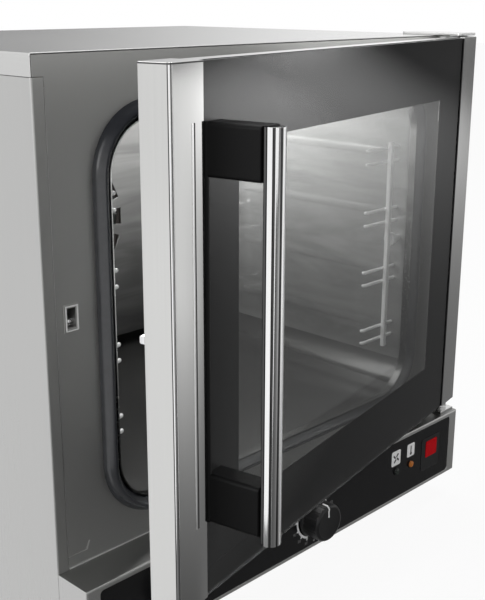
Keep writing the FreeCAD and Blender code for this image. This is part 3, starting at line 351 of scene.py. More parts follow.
plate_red = moulded("plate_red", (0.5, 0.0008, 0.005), 0.2, 0.3, cell=40.0, depth=0, shine=0.05)
amber_lens = moulded("amber_lens", (0.5, 0.15, 0.012), 0.12, 0.2, cell=200.0, depth=0)
dark_lens = moulded("dark_lens", (0.012, 0.02, 0.015), 0.12, 0.2, cell=200.0, depth=0)
clear_glass = pane("clear_glass", (0.97, 0.975, 0.97), 0.0, 0.0)
lamp_glass = pane("lamp_glass", (0.95, 0.94, 0.9), 0.12, 0.2)


# Mesh steps
def settle(bm, name, body, material, smooth_below=50.0, front=None):
    """Turns a finished bmesh into a named piece that rides on a body."""
    mesh = bpy.data.meshes.new(name)
    bm.to_mesh(mesh)
    bm.free()
    mesh.materials.append(material)
    if front:
        mesh.materials.append(front)
        for face in mesh.polygons:
            face.material_index = 1 if face.normal.y < -0.7 else 0
    mesh.shade_smooth()
    mesh.set_sharp_from_angle(angle=math.radians(smooth_below))
    piece = bpy.data.objects.new(name, mesh)
    bpy.context.scene.collection.objects.link(piece)
    even = piece.modifiers.new("even_normals", "WEIGHTED_NORMAL")
    even.keep_sharp = True
    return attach(piece, body)


def welded(node):
    """Merged copy of a CAD node with its flat faces made whole."""
    bm = bmesh.new()
    bm.from_mesh(nodes[node].data)
    bmesh.ops.remove_doubles(bm, verts=bm.verts, dist=2e-6)
    bmesh.ops.dissolve_limit(bm, angle_limit=math.radians(0.4), verts=bm.verts, edges=bm.edges)
    return bm


def ease(bm, width, segments=2, sharper=35.0):
    """Rounds every edge that turns more than the given angle."""
    sharp = [e for e in bm.edges if len(e.link_faces) == 2 and e.calc_face_angle() > math.radians(sharper)]
    bmesh.ops.bevel(
        bm, geom=sharp, offset=width, segments=segments, profile=0.5, affect="EDGES", material=-1
    )


def dress(node, material, edge=0.35, segments=2, front=None):
    """Stands a copy of a CAD node in for the node, with edges eased by a width in millimetres."""
    bm = welded(node)
    ease(bm, edge * MM, segments)
    piece = settle(bm, node + "_eased", nodes[node]["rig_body"], material, front=front)
    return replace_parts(piece, node)


def paint(node, material):
    """Gives a CAD node that stays its finish."""
    slots = nodes[node].data.materials
    slots.clear()
    slots.append(material)


def islands(node):
    """Boxes of the separate solids in a CAD node."""
    bm = bmesh.new()
    bm.from_mesh(nodes[node].data)
    bmesh.ops.remove_doubles(bm, verts=bm.verts, dist=2e-6)
    left = set(bm.verts)
    boxes = []
    while left:
        reach = [left.pop()]
        whole = list(reach)
        while reach:
            at = reach.pop()
            fresh = [v for v in (e.other_vert(at) for e in at.link_edges) if v in left]
            left.difference_update(fresh)
            reach += fresh
            whole += fresh
        low = Vector([min(v.co[i] for v in whole) for i in range(3)])
        high = Vector([max(v.co[i] for v in whole) for i in range(3)])
        boxes.append((low, high))
    bm.free()
    return sorted(boxes, key=lambda box: tuple(box[0]))


def strand(bm, points, closed):
    """Joins a few points by edges, as the section or path that the next steps pull."""
    verts = [bm.verts.new(p) for p in points]
    pairs = list(zip(verts, verts[1:])) + ([(verts[-1], verts[0])] if closed else [])
    return [bm.edges.new(pair) for pair in pairs]


def pull(bm, edges, run):
    """Extrudes an open section along a straight run; returns the section at its end."""
    made = bmesh.ops.extrude_edge_only(bm, edges=edges)["geom"]
    fresh = [g for g in made if isinstance(g, bmesh.types.BMVert)]
    bmesh.ops.translate(bm, verts=fresh, vec=run)
    ends = set(fresh)
    return [g for g in made if isinstance(g, bmesh.types.BMEdge) and set(g.verts) <= ends]


def swing(bm, edges, centre, axis, degrees, steps):
    """Carries a section round a bend; returns the section at its end."""
    verts = list({v for e in edges for v in e.verts})
    made = bmesh.ops.spin(
        bm, geom=verts + edges, cent=centre, axis=axis, angle=math.radians(degrees), steps=steps,
        use_merge=False, use_duplicate=False
    )
    return [g for g in made["geom_last"] if isinstance(g, bmesh.types.BMEdge)]


def close_up(bm):
    """Merges seams, fills open ends and turns all faces outwards."""
    bmesh.ops.remove_doubles(bm, verts=bm.verts, dist=2e-6)
    bmesh.ops.holes_fill(bm, edges=bm.edges, sides=0)
    bmesh.ops.recalc_face_normals(bm, faces=bm.faces)


def lathe(profile, centre, steps=48):
    """Turned solid about a line along -Y, from (radius, height) points in millimetres."""
    bm = bmesh.new()
    x, y, z = centre
    edges = strand(bm, [(x + r * MM, y - h * MM, z) for r, h in profile], False)
    verts = list({v for e in edges for v in e.verts})
    bmesh.ops.spin(
        bm, geom=verts + edges, cent=centre, axis=(0, -1, 0), angle=math.tau, steps=steps,
        use_merge=True, use_duplicate=False
    )
    close_up(bm)
    return bm


def slab(low, high, corner=0.0, edge=0.0, bm=None):
    """Flat plate between two corners in millimetres, facing -Y, with rounded corners and eased edges."""
    bm = bm or bmesh.new()
    made = bmesh.ops.create_cube(bm, size=1.0)["verts"]
    size = [(b - a) * MM for a, b in zip(low, high)]
    bmesh.ops.scale(bm, vec=size, verts=made)
    bmesh.ops.translate(bm, vec=[(a + b) / 2 * MM for a, b in zip(low, high)], verts=made)
    if corner:
        through = [e for e in {e for v in made for e in v.link_edges}
                   if abs(e.verts[0].co.y - e.verts[1].co.y) > size[1] / 2]
        bmesh.ops.bevel(
            bm, geom=through, offset=corner * MM, segments=5, profile=0.5, affect="EDGES", material=-1
        )
    if edge:
        ease(bm, edge * MM, 2, 60.0)
    return bm


def turn_about(bm, verts, x, z, degrees):
    """Turns part of a mesh anticlockwise, as the front shows it, about a line along Y."""
    bmesh.ops.rotate(bm, cent=(x, 0, z), matrix=Matrix.Rotation(math.radians(-degrees), 3, "Y"), verts=verts)


def upright(x, y, z):
    """Places a flat shape at a point so that it faces the front."""
    return Matrix.Translation((x, y, z)) @ Matrix.Rotation(math.radians(90), 4, "X")


def grown(bm, before):
    """Vertices of a mesh that are newer than a set of them."""
    return [v for v in bm.verts if v not in before]


def hung(bm):
    """Swings a mesh that is drawn on the shut door to the door's resting place."""
    bmesh.ops.transform(bm, matrix=AJAR, verts=bm.verts)
    return bm


def recoat(piece, material, test):
    """Gives another finish to the faces that pass a test."""
    slots = piece.data.materials
    slots.append(material)
    for face in piece.data.polygons:
        if test(face):
            face.material_index = len(slots) - 1


# Casing
# Front-facing faces take face_steel, which holds painted shade
for name in ("left_side_panel", "right_side_panel"):
    dress(name, side_steel, front=face_steel)
for name in ("back_panel", "rear_motor_cover", "base_pan"):
    dress(name, side_steel)
dress("top_cover", top_steel, 0.5)
# The front panel and the housing's front take face_steel, which holds painted shade
dress("front_panel", face_steel)
housing = dress("control_housing", side_steel, 0.5, front=face_steel)
# Painted shade: the housing's upward faces take the dark ledge_steel
recoat(housing, ledge_steel, lambda face: face.normal.z > 0.8)
dress("control_fascia", fascia_black, 0.3)
for name in ("upper_hinge_plate", "lower_hinge_plate"):
    dress(name, top_steel, 0.5)
dress("steam_outlet", side_steel)
dress("cable_gland", bracket_black, 0.6)
for end in ("front", "rear"):
    for hand in ("left", "right"):
        dress(end + "_" + hand + "_foot", foot_rubber, 1.5, 3)


# Screws with a round recess, drawn facing up and then turned to their face
HEAD_TALL = 1.6
HEAD_TAPER = 0.8
RECESS_SHARE = 0.38
RECESS_WALL = 0.15
RECESS_DEEP = 0.8


def screws(name, places, body, facing, size=3.2, on_door=False):
    """Row of pan-head screws; places are in millimetres, and on the shut door for the door's own."""
    whole = bmesh.new()
    turn = Vector((0, 0, 1)).rotation_difference(Vector(facing)).to_matrix()
    for place in places:
        before = set(whole.verts)
        head = bmesh.ops.create_cone(
            whole, cap_ends=True, segments=20, radius1=size * MM,
            radius2=size * HEAD_TAPER * MM, depth=HEAD_TALL * MM
        )["verts"]
        crown = max({f for v in head for f in v.link_faces}, key=lambda f: f.calc_center_median().z)
        bmesh.ops.inset_region(whole, faces=[crown], thickness=size * RECESS_SHARE * MM)
        bmesh.ops.inset_region(whole, faces=[crown], thickness=RECESS_WALL * MM)
        bmesh.ops.translate(whole, vec=(0, 0, -RECESS_DEEP * MM), verts=crown.verts)
        fresh = grown(whole, before)
        bmesh.ops.rotate(whole, cent=(0, 0, 0), matrix=turn, verts=fresh)
        bmesh.ops.translate(whole, vec=Vector(place) * MM, verts=fresh)
    if on_door:
        hung(whole)
    return settle(whole, name, body, screw_steel, 40.0)


# Seal round the mouth with the bright steel lip that it sits against
SEAL_CORNER = 65.0 * MM
BULB = [
    (0, 0), (0, 2.2), (0.8, 4.6), (2.2, 7.2), (4.0, 9.6), (5.8, 11.2), (7.4, 11.8), (9.0, 11.0),
    (10.8, 8.8), (12.6, 6.2), (14.2, 4.2), (15.2, 3.0), (15.2, 0),
]
LIP = [(15.6, -4.0), (15.6, 4.8), (16.0, 5.2), (16.9, 5.2), (17.3, 4.8), (17.3, -4.0)]
seal_low, seal_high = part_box("door_seal")


def mouth_ring(section):
    """Carries a section round the mouth; points are (in from the outer edge, out of the panel) in mm."""
    bm = bmesh.new()
    wide = seal_high.x
    side = wide - SEAL_CORNER
    low = seal_low.z + SEAL_CORNER
    high = seal_high.z - SEAL_CORNER
    start = (low + high) / 2
    edges = strand(bm, [(wide - a * MM, FACE_FRONT - b * MM, start) for a, b in section], True)
    edges = pull(bm, edges, (0, 0, high - start))
    for at, run in (
        ((side, 0, high), (-2 * side, 0, 0)),
        ((-side, 0, high), (0, 0, low - high)),
        ((-side, 0, low), (2 * side, 0, 0)),
        ((side, 0, low), (0, 0, start - low)),
    ):
        edges = swing(bm, edges, at, (0, -1, 0), 90, 20)
        edges = pull(bm, edges, run)
    bmesh.ops.remove_doubles(bm, verts=bm.verts, dist=2e-6)
    bmesh.ops.recalc_face_normals(bm, faces=bm.faces)
    return bm


bm = mouth_ring(BULB)
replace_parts(settle(bm, "seal_bulb", OVEN, seal_rubber, 60.0), "door_seal")
bm = mouth_ring(LIP)
settle(bm, "mouth_lip", OVEN, lip_steel, 60.0)

# Chamber
HEARTH_UP = 60
liner = dress("chamber_liner", chamber_steel, 0.3)
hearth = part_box("chamber_liner")[0].z + HEARTH_UP * MM
# Painted shade: the chamber floor faces take the nearly black hearth_steel
recoat(liner, hearth_steel, lambda face: face.normal.z > 0.3 and face.center.z < hearth)
for name in ("chamber_back_wall", "fan_guard"):
    dress(name, guard_steel, 0.3)
dress("lamp_lens", lamp_glass, 0.8)
dress("catch_socket", face_steel, 0.3)
dress("catch_roller", polished, 0.3)

# Pale bars round the catch's opening, one per side: a painted highlight of its rim
RIM_IN = 2.6
RIM_TALL = 21.0
RIM_EDGE = 0.25
socket_low, socket_high = in_mm(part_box("catch_socket"))
left, right = socket_low.x + RIM_IN, socket_high.x - RIM_IN
top = socket_high.z - RIM_IN
foot = top - RIM_TALL
front, back = socket_low.y - 0.7, socket_low.y + 0.1
bm = bmesh.new()
for x0, x1, z0, z1 in (
    (right, right + 1.5, foot, top + 1.5),
    (left - 1.0, right + 1.0, top, top + 1.5),
    (left - 1.0, left, foot, top + 1.0),
    (left - 1.0, right + 1.0, foot - 0.8, foot + 0.4),
):
    slab((x0, front, z0), (x1, back, z1), edge=RIM_EDGE, bm=bm)
settle(bm, "catch_rim", OVEN, highlight_steel)

# Bright strips on the front panel: painted highlights of its fold on the left with a pressed mark, and of the
# join over the ledge
FOLD_IN = 10.7
FOLD_DROP = 25.4
FOOT_UP = 12.4
FOOT_RUN = 20.4
MARK_TALL = 9.0
MARK_LEAN = -20
JOIN_END = 4.1
panel_low, panel_high = in_mm(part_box("front_panel"))
skin = FACE_FRONT / MM
fold, foot = panel_low.x + FOLD_IN, panel_low.z + FOOT_UP
start = fold + 1.0
end = start + FOOT_RUN
bm = bmesh.new()
slab((fold, skin - 0.3, foot), (fold + 0.5, skin + 0.1, panel_high.z - FOLD_DROP), bm=bm)
slab((start, skin - 0.4, foot), (end, skin + 0.1, foot + 0.5), bm=bm)
before = set(bm.verts)
slab((end - 0.2, skin - 0.5, foot), (end + 0.8, skin + 0.1, foot + MARK_TALL), bm=bm)
turn_about(bm, grown(bm, before), (end + 0.3) * MM, foot * MM, MARK_LEAN)
settle(bm, "panel_fold_highlights", OVEN, fold_highlight_steel)
# Painted highlight along the join over the ledge
bm = slab((start, skin - 0.9, panel_low.z + 0.2), (panel_high.x - JOIN_END, skin + 0.1, panel_low.z + 1.2))
settle(bm, "ledge_join_highlight", OVEN, highlight_steel)

# Tray bars and fan
for name in ("left_rack_bars", "right_rack_bars"):
    dress(name, wire_plate, 1.6, 4)
dress("rack_studs", wire_plate, 0.5)
for name in ("fan_wheel", "temperature_probe", "fan_shaft"):
    dress(name, fan_metal, 0.3)


# Tray prongs of round plated wire with a bent and rounded tip
PRONG_BEND = 62
TIP_STEPS = ((0.45, 0.92), (0.35, 0.72), (0.2, 0.4))


def prong_wires(node, hand):
    """All prongs of one side; hand is 1 on the right and -1 on the left."""
    bm = bmesh.new()
    for low, high in islands(node):
        wire = (high.z - low.z) / 2
        if hand < 0:
            low, high = Vector((-high.x, low.y, low.z)), Vector((-low.x, high.y, high.z))
        bend = (high.y - low.y) - 2 * wire
        x, y, z = high.x, low.y + wire, (low.z + high.z) / 2
        before = set(bm.verts)
        spot = Matrix.Translation((x, y, z)) @ Matrix.Rotation(math.radians(-90), 4, "Y")
        ring = bmesh.ops.create_circle(bm, cap_ends=False, radius=wire, segments=12, matrix=spot)["verts"]
        edges = list({e for v in ring for e in v.link_edges})
        edges = pull(bm, edges, (low.x + bend - x, 0, 0))
        edges = swing(bm, edges, (low.x + bend, y + bend, z), (0, 0, -1), PRONG_BEND, 7)
        rim = list({v for e in edges for v in e.verts})
        tip = sum((v.co for v in rim), Vector()) / len(rim)
        lean = math.radians(PRONG_BEND)
        onward = Vector((-math.cos(lean), math.sin(lean), 0))
        for out, keep in TIP_STEPS:
            edges = pull(bm, edges, onward * wire * out)
            tip += onward * wire * out
            rim = list({v for e in edges for v in e.verts})
            bmesh.ops.scale(bm, vec=(keep, keep, keep), space=Matrix.Translation(-tip), verts=rim)
        if hand < 0:
            bmesh.ops.scale(bm, vec=(-1, 1, 1), verts=grown(bm, before))
    close_up(bm)
    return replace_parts(settle(bm, node + "_wires", OVEN, wire_plate, 70.0), node)


prong_wires("right_rack_prongs", 1)
prong_wires("left_rack_prongs", -1)

# Inner units
paint("thermostat_spindle", polished)
paint("timer_spindle", polished)
for name in ("thermostat_unit", "timer_unit", "terminal_block"):
    paint(name, unit_plastic)
paint("fan_motor", motor_paint)
paint("ring_heater", heater_sheath)
paint("lamp_housing", polished)
paint("insulation", wool)


# Knobs with gripped sides, a dished face and a white pointer carried over the rim
KNOB_STEPS = 72
GRIP_IN = 1.2
POINTER_W = 2.0
POINTER_TURN = 5.0


def knob(name):
    """Turned knob with gripped sides in place of a knob node, and its pointer."""
    low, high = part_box(name + "_knob")
    body = nodes[name + "_knob"]["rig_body"]
    x, z = middle((low, high))
    wide, tall = (high.x - low.x) / 2 / MM, (high.y - low.y) / MM
    profile = [
        (0, 0), (wide - 0.6, 0), (wide, 0.6), (wide, 3.0), (wide - 0.5, 3.6), (wide - GRIP_IN, 4.0),
        (wide - GRIP_IN, tall - 3.0), (wide - 1.7, tall - 1.6), (wide - 2.8, tall - 0.5),
        (wide - 4.2, tall - 0.1), (wide - 5.0, tall - 0.1), (wide - 6.0, tall - 0.7), (0, tall - 0.9),
    ]
    bm = lathe(profile, (x, high.y, z), KNOB_STEPS)
    sides = []
    for face in bm.faces:
        mid = face.calc_center_median()
        spread = math.hypot(mid.x - x, mid.z - z) / MM
        on_side = abs(face.normal.y) < 0.1 and abs(spread - wide + GRIP_IN) < 0.1
        step = round(math.atan2(mid.z - z, mid.x - x) / math.tau * KNOB_STEPS - 0.5)
        if on_side and face.calc_area() > 2e-5 and step % 2:
            sides.append(face)
    bmesh.ops.inset_individual(bm, faces=sides, thickness=0.2 * MM, depth=0.5 * MM, use_even_offset=True)
    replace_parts(settle(bm, name + "_grip", body, knob_black, 35.0), name + "_knob")

    bm = bmesh.new()
    path = [
        (wide - 14.5, tall - 0.65), (wide - 6.2, tall - 0.55), (wide - 5.0, tall), (wide - 4.2, tall),
        (wide - 2.7, tall - 0.4), (wide - 1.55, tall - 1.5), (wide - 0.6, tall - 3.0),
        (wide - 0.6, tall - 9.0),
    ]
    edges = strand(bm, [(x - POINTER_W / 2 * MM, high.y - h * MM, z + r * MM) for r, h in path], False)
    pull(bm, edges, (POINTER_W * MM, 0, 0))
    bmesh.ops.recalc_face_normals(bm, faces=bm.faces)
    bmesh.ops.solidify(bm, geom=bm.faces, thickness=0.45 * MM)
    turn_about(bm, bm.verts, x, z, POINTER_TURN)
    settle(bm, name + "_pointer", body, print_white, 30.0)


# Dial scales printed on the fascia
INK = 0.12
SCALE_FIRST = 276.5
SCALE_STEP = 24.4
RING_IN, RING_OUT = 23.4, 26.0
TICK_IN, TICK_OUT = 25.5, 28.0
TICK_HALF = 0.9
FIGURES_R = 31.6
FIGURES_TALL = 3.6
FONT_RATIO = 1.4
DOT_R = 1.3


def flat_text(words, tall, x, z):
    """Mesh of a few figures, standing on the fascia about a point."""
    curve = bpy.data.curves.new("figures", "FONT")
    curve.body = words
    curve.size = tall * MM * FONT_RATIO
    curve.align_x = "CENTER"
    curve.align_y = "CENTER"
    curve.resolution_u = 2
    carrier = bpy.data.objects.new("figures", curve)
    mesh = bpy.data.meshes.new_from_object(carrier)
    bpy.data.objects.remove(carrier)
    bpy.data.curves.remove(curve)
    mesh.transform(upright(x, FASCIA_FRONT - INK * MM, z))
    return mesh


def dial(name, labels):
    """Ring segment with ticks, and figures round it, clockwise from the foot of the knob."""
    x, z = middle(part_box(name + "_knob"))
    front = FASCIA_FRONT - INK * MM
    bm = bmesh.new()
    edges = strand(bm, [(x + r * MM, front, z) for r in (RING_IN, RING_OUT)], False)
    turn_about(bm, bm.verts, x, z, SCALE_FIRST - SCALE_STEP + 1.0)
    swing(bm, edges, (x, front, z), (0, 1, 0), SCALE_STEP * (len(labels) - 2) + 2.0, 90)
    for i in range(1, len(labels)):
        before = set(bm.verts)
        low = (x / MM + TICK_IN, front / MM - 0.02, z / MM - TICK_HALF)
        high = (x / MM + TICK_OUT, front / MM, z / MM + TICK_HALF)
        slab(low, high, bm=bm)
        turn_about(bm, grown(bm, before), x, z, SCALE_FIRST - SCALE_STEP * i)
    bmesh.ops.recalc_face_normals(bm, faces=bm.faces)
    settle(bm, name + "_scale", OVEN, print_white)
    figures = bmesh.new()
    for i, label in enumerate(labels):
        angle = math.radians(SCALE_FIRST - SCALE_STEP * i)
        at_x, at_z = x + FIGURES_R * MM * math.cos(angle), z + FIGURES_R * MM * math.sin(angle)
        if label == "dot":
            spot = upright(at_x, front, at_z)
            bmesh.ops.create_circle(figures, cap_ends=True, radius=DOT_R * MM, segments=20, matrix=spot)
        elif label:
            figures.from_mesh(flat_text(label, FIGURES_TALL, at_x, at_z))
    settle(figures, name + "_figures", OVEN, print_grey)


knob("thermostat")
knob("timer")
dial("thermostat", ["dot"] + [str(heat) for heat in range(50, 251, 20)])
dial("timer", ["dot"] + [str(minutes) if minutes % 20 == 0 else "" for minutes in range(10, 111, 10)])

# Pilot lamps, each with a collar and a faceted dome
COLLAR = [(0, 0), (5.0, 0), (5.0, 0.7), (4.6, 1.0), (4.2, 1.0), (4.2, 0.5), (0, 0.5)]
DOME = [(0, 0.4), (4.15, 0.4), (4.15, 1.2), (3.5, 2.3), (2.2, 3.0), (0, 3.3)]
for name, lens, slot in (("heat_lamp", amber_lens, "amber_lens"), ("fan_lamp", dark_lens, "green_lens")):
    x, z = middle(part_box(name))
    paint(name, lens)
    bm = lathe(COLLAR, (x, FASCIA_FRONT, z), 32)
    settle(bm, name + "_collar", OVEN, bracket_black)
    bm = lathe(DOME, (x, FASCIA_FRONT, z), 8)
    settle(bm, name + "_dome", OVEN, lens, 20.0)

# Legends above the lamps: a fan and a thermometer
LEGEND_DROP = 13.5
LEGEND_CORNER = 2.2
INK_FRONT = FASCIA_FRONT / MM - 0.37
INK_BACK = FASCIA_FRONT / MM - 0.2
BLADES = 4
BULB_R = 2.0
fascia_low, fascia_high = in_mm(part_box("control_fascia"))


def legend_tile(name, lamp, shift, wide, tall):
    """White tile over a pilot lamp, shifted from the lamp's middle; returns its own middle."""
    x = middle(in_mm(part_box(lamp)))[0] + shift
    top = fascia_high.z - LEGEND_DROP
    low = (x - wide / 2, FASCIA_FRONT / MM - 0.25, top - tall)
    high = (x + wide / 2, FASCIA_FRONT / MM + 0.1, top)
    settle(slab(low, high, LEGEND_CORNER), name, OVEN, print_white)
    return x, top - tall / 2


x, z = legend_tile("fan_legend", "fan_lamp", -1.2, 17.6, 19.0)
bm = bmesh.new()
for i in range(BLADES):
    before = set(bm.verts)
    slab((x + 1.0, INK_FRONT, z - 0.2), (x + 6.6, INK_BACK, z + 2.0), 1.0, bm=bm)
    turn_about(bm, grown(bm, before), x * MM, z * MM, (i + 0.5) * 360 / BLADES)
settle(bm, "fan_sign", OVEN, print_black)
x, z = legend_tile("heat_legend", "heat_lamp", -0.1, 15.0, 17.0)
bm = slab((x - 0.9, INK_FRONT, z - 4.0), (x + 0.9, INK_BACK, z + 5.6), 0.8)
spot = upright(x * MM, INK_FRONT * MM, (z - 4.4) * MM)
bmesh.ops.create_circle(bm, cap_ends=True, radius=BULB_R * MM, segments=24, matrix=spot)
settle(bm, "thermometer_sign", OVEN, print_black)


# Bare red plate in a thin raised frame at the right end of the fascia
def fascia_plate(inset, up, wide, tall, out, corner, edge=0.0):
    """Plate on the fascia, placed from its right end and its foot."""
    right, foot = fascia_high.x - inset, fascia_low.z + up
    low = (right - wide, FASCIA_FRONT / MM - out, foot)
    high = (right, FASCIA_FRONT / MM + 0.1, foot + tall)
    return slab(low, high, corner, edge)


bm = fascia_plate(inset=29.5, up=35.0, wide=23.5, tall=21.5, out=0.6, corner=1.5, edge=0.2)
settle(bm, "red_plate", OVEN, plate_red)
bm = fascia_plate(inset=22.0, up=19.0, wide=40.0, tall=42.5, out=0.5, corner=3.0)
crown = min(bm.faces, key=lambda f: f.calc_center_median().y)
bmesh.ops.inset_region(bm, faces=[crown], thickness=0.8 * MM)
bmesh.ops.translate(bm, vec=(0, 0.4 * MM, 0), verts=crown.verts)
settle(bm, "plate_frame", OVEN, knob_black)

# Door frame, with the places of a folded corner's painted shadow lines in millimetres
CORNER_LINE = (1.4, 2.4)
TOP_LINE = (0.4, 1.6)
INSIDE, FRONT, LINE, CORNER = 1, 2, 3, 4


def frame_member(name, folded=False, front=door_steel, inside=shaded_inner_steel):
    """Door frame piece whose inner side takes the dark inside finish, painted shade unless another is given;
    a folded one has a painted highlight on its corner between painted shadow lines.
    """
    bm = welded(name)
    low, high = shut_box(name)
    if folded:
        cuts = [((low.x + d * MM, low.y, low.z), (1, 0, 0)) for d in CORNER_LINE]
        cuts += [((low.x, low.y + d * MM, low.z), (0, 1, 0)) for d in CORNER_LINE]
        cuts += [((low.x, low.y, high.z - d * MM), (0, 0, 1)) for d in TOP_LINE]
        for point, across in cuts:
            bmesh.ops.bisect_plane(
                bm, geom=bm.verts[:] + bm.edges[:] + bm.faces[:], dist=1e-6, plane_co=AJAR @ Vector(point),
                plane_no=AJAR.to_3x3() @ Vector(across)
            )
    ease(bm, 0.3 * MM)
    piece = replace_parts(settle(bm, name + "_eased", DOOR, door_steel), name)
    for material in (inside, front, flute_metal, grip_metal):
        piece.data.materials.append(material)
    for face in piece.data.polygons:
        facing = SHUT.to_3x3() @ face.normal
        place = SHUT @ face.center
        if facing.y > 0.7:
            face.material_index = INSIDE
        elif facing.y < -0.7:
            face.material_index = FRONT
        # Painted highlight on the folded corner, between painted shadow lines for its fine groove
        if folded and facing.y < 0.7 and facing.x < 0.5 and abs(facing.z) < 0.5:
            over = (high.z - place.z) / MM
            along = (place.x - low.x if facing.y < -0.7 else place.y - low.y) / MM
            if TOP_LINE[0] < over < TOP_LINE[1] or CORNER_LINE[0] < along < CORNER_LINE[1]:
                face.material_index = LINE
            elif along < CORNER_LINE[0]:
                face.material_index = CORNER
    return piece


frame_member("door_left_upright", True)
frame_member("door_right_upright")
frame_member("door_top_rail", False, bracket_black, door_steel)
frame_member("door_bottom_rail")
dress("outer_glass", clear_glass, 0.5)
dress("inner_glass", clear_glass, 0.5)
paint("glass_mask", print_black)
for name in ("glass_clips", "door_striker"):
    dress(name, polished, 0.3)
paint("door_hinge_bushes", bracket_black)

# Handle: polished bar with dark flutes and a satin stripe right of its middle
FLUTE_DEEP = 0.12
FLUTE_BACK = 0.5
SATIN = (0.5, 5.5)
grip_low, grip_high = shut_box("handle_bar")
grip_x = (grip_low.x + grip_high.x) / 2
grip_r = (grip_high.x - grip_low.x) / 2


def in_flute(face):
    """Whether a face of the bar lies in one of its flutes."""
    mid = SHUT @ face.center
    spread = math.hypot(mid.x - grip_x, mid.y - grip_low.y - grip_r)
    sunk = spread < grip_r - FLUTE_DEEP * MM and mid.y < grip_low.y + grip_r - FLUTE_BACK * MM
    return sunk and abs(face.normal.z) < 0.5


def in_stripe(face):
    """Whether a face of the bar lies in its satin stripe."""
    right = ((SHUT @ face.center).x - grip_x) / MM
    return SATIN[0] < right < SATIN[1] and abs(face.normal.z) < 0.5 and not in_flute(face)


bar = dress("handle_bar", grip_metal, 0.15)
recoat(bar, flute_metal, in_flute)
recoat(bar, satin_metal, in_stripe)
dress("handle_core", bracket_black, 0.4)
# Mirrors leave the brackets out, so that the upright shows the studio card
for name in ("handle_upper_bracket", "handle_lower_bracket"):
    dress(name, bracket_black, 1.0, 3).visible_glossy = False

# Black strip that joins the brackets along the frame, with a light and a dark stripe beside it: a painted
# reflection of the handle
STRIP_GAP = 0.2
STRIP_W = 3.2
STRIP_OUT = 2.4
frame_low, frame_high = in_mm(shut_box("door_left_upright"))
low_end = in_mm(shut_box("handle_lower_bracket"))[0].z
high_end = in_mm(shut_box("handle_upper_bracket"))[1].z
side, skin = frame_high.x, frame_low.y
start = side + STRIP_GAP
bm = slab((start, skin - STRIP_OUT, low_end), (start + STRIP_W, skin + 0.5, high_end), edge=0.6)
settle(hung(bm), "handle_back_strip", DOOR, bracket_black)
# Painted reflection of the handle on the upright, one light and one dark stripe
for name, inset, wide, out, material in (
    ("frame_bead", 15.4, 1.4, 0.5, grip_metal),
    ("frame_groove", 12.6, 1.5, 0.12, flute_metal),
):
    start = side - inset
    bm = slab((start, skin - out, low_end), (start + wide, skin + 0.1, high_end), edge=out * 0.4)
    settle(hung(bm), name, DOOR, material)

# Black packing between the glass and the frame on the hinge side
PACKING_W = 2.4
PACKING_DEEP = 1.5
frame_low, frame_high = in_mm(shut_box("door_right_upright"))
side, skin = frame_low.x, frame_low.y
low = (side - PACKING_W, skin - 0.1, frame_low.z + 1)
high = (side + 0.1, skin + PACKING_DEEP, frame_high.z - 1)
bm = slab(low, high)
settle(hung(bm), "glass_packing", DOOR, bracket_black)

# Thin metal edge let into both sides of the handle's core
EDGE_HALF = 0.8
EDGE_OUT = 0.12
core_low, core_high = in_mm(shut_box("handle_core"))
mid_y = (core_low.y + core_high.y) / 2
bm = bmesh.new()
for x in (core_low.x, core_high.x):
    low = (x - EDGE_OUT, mid_y - EDGE_HALF, core_low.z + 1.0)
    high = (x + EDGE_OUT, mid_y + EDGE_HALF, core_high.z - 1.0)
    slab(low, high, bm=bm)
settle(hung(bm), "handle_core_edge", DOOR, fin_metal)

# Fasteners on the back, the fan guard, the hinge leaf and the door's inside
HEAD_OUT = 0.6
BACK_IN = 12
BACK_UP = 10
BACK_STEP = 170
BACK_SPREAD = 140
COVER_SHEET = 1.2
COVER_IN = 6
GUARD_IN = 12
LEAF_IN = (10, 34)
LEAF_SUNK = 0.8
CLIP_OUT = 0.5
CLIP_IN = 3.2
CLIP_UP = 12
back_low, back_high = in_mm(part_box("back_panel"))
left, right = back_low.x + BACK_IN, back_high.x - BACK_IN
foot, head = back_low.z + BACK_UP, back_high.z - BACK_UP
behind = back_high.y + HEAD_OUT
heights = (foot, foot + BACK_STEP, foot + 2 * BACK_STEP, head)
places = [(x, behind, z) for x in (left, right) for z in heights]
places += [(x, behind, z) for x in (-BACK_SPREAD, BACK_SPREAD) for z in (foot, head)]
screws("back_screws", places, OVEN, (0, 1, 0))
cover_low, cover_high = in_mm(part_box("rear_motor_cover"))
rim = back_high.y + COVER_SHEET + HEAD_OUT
half_way = (cover_low.z + cover_high.z) / 2
places = []
for x in (cover_low.x + COVER_IN, 0.0, cover_high.x - COVER_IN):
    for z in (cover_low.z + COVER_IN, half_way, cover_high.z - COVER_IN):
        if x or z != half_way:
            places.append((x, rim, z))
screws("cover_screws", places, OVEN, (0, 1, 0), 2.8)
guard_low, guard_high = in_mm(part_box("fan_guard"))
places = [(x, guard_low.y - HEAD_OUT, z) for x in (guard_low.x + GUARD_IN, guard_high.x - GUARD_IN)
          for z in (guard_low.z + GUARD_IN, guard_high.z - GUARD_IN)]
screws("guard_screws", places, OVEN, (0, -1, 0), 4.0)
leaf_low, leaf_high = in_mm(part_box("upper_hinge_plate"))
leaf_x = (leaf_low.x + leaf_high.x) / 2
places = [(leaf_x, leaf_high.y - inset, leaf_high.z - LEAF_SUNK) for inset in LEAF_IN]
screws("hinge_screws", places, OVEN, (0, 0, 1), 3.6)
clip_low, clip_high = in_mm(shut_box("glass_clips"))
places = [(x, clip_high.y + CLIP_OUT, z) for x in (clip_low.x + CLIP_IN, clip_high.x - CLIP_IN)
          for z in (clip_low.z + CLIP_UP, clip_high.z - CLIP_UP)]
screws("clip_screws", places, DOOR, (0, 1, 0), 2.2, on_door=True)


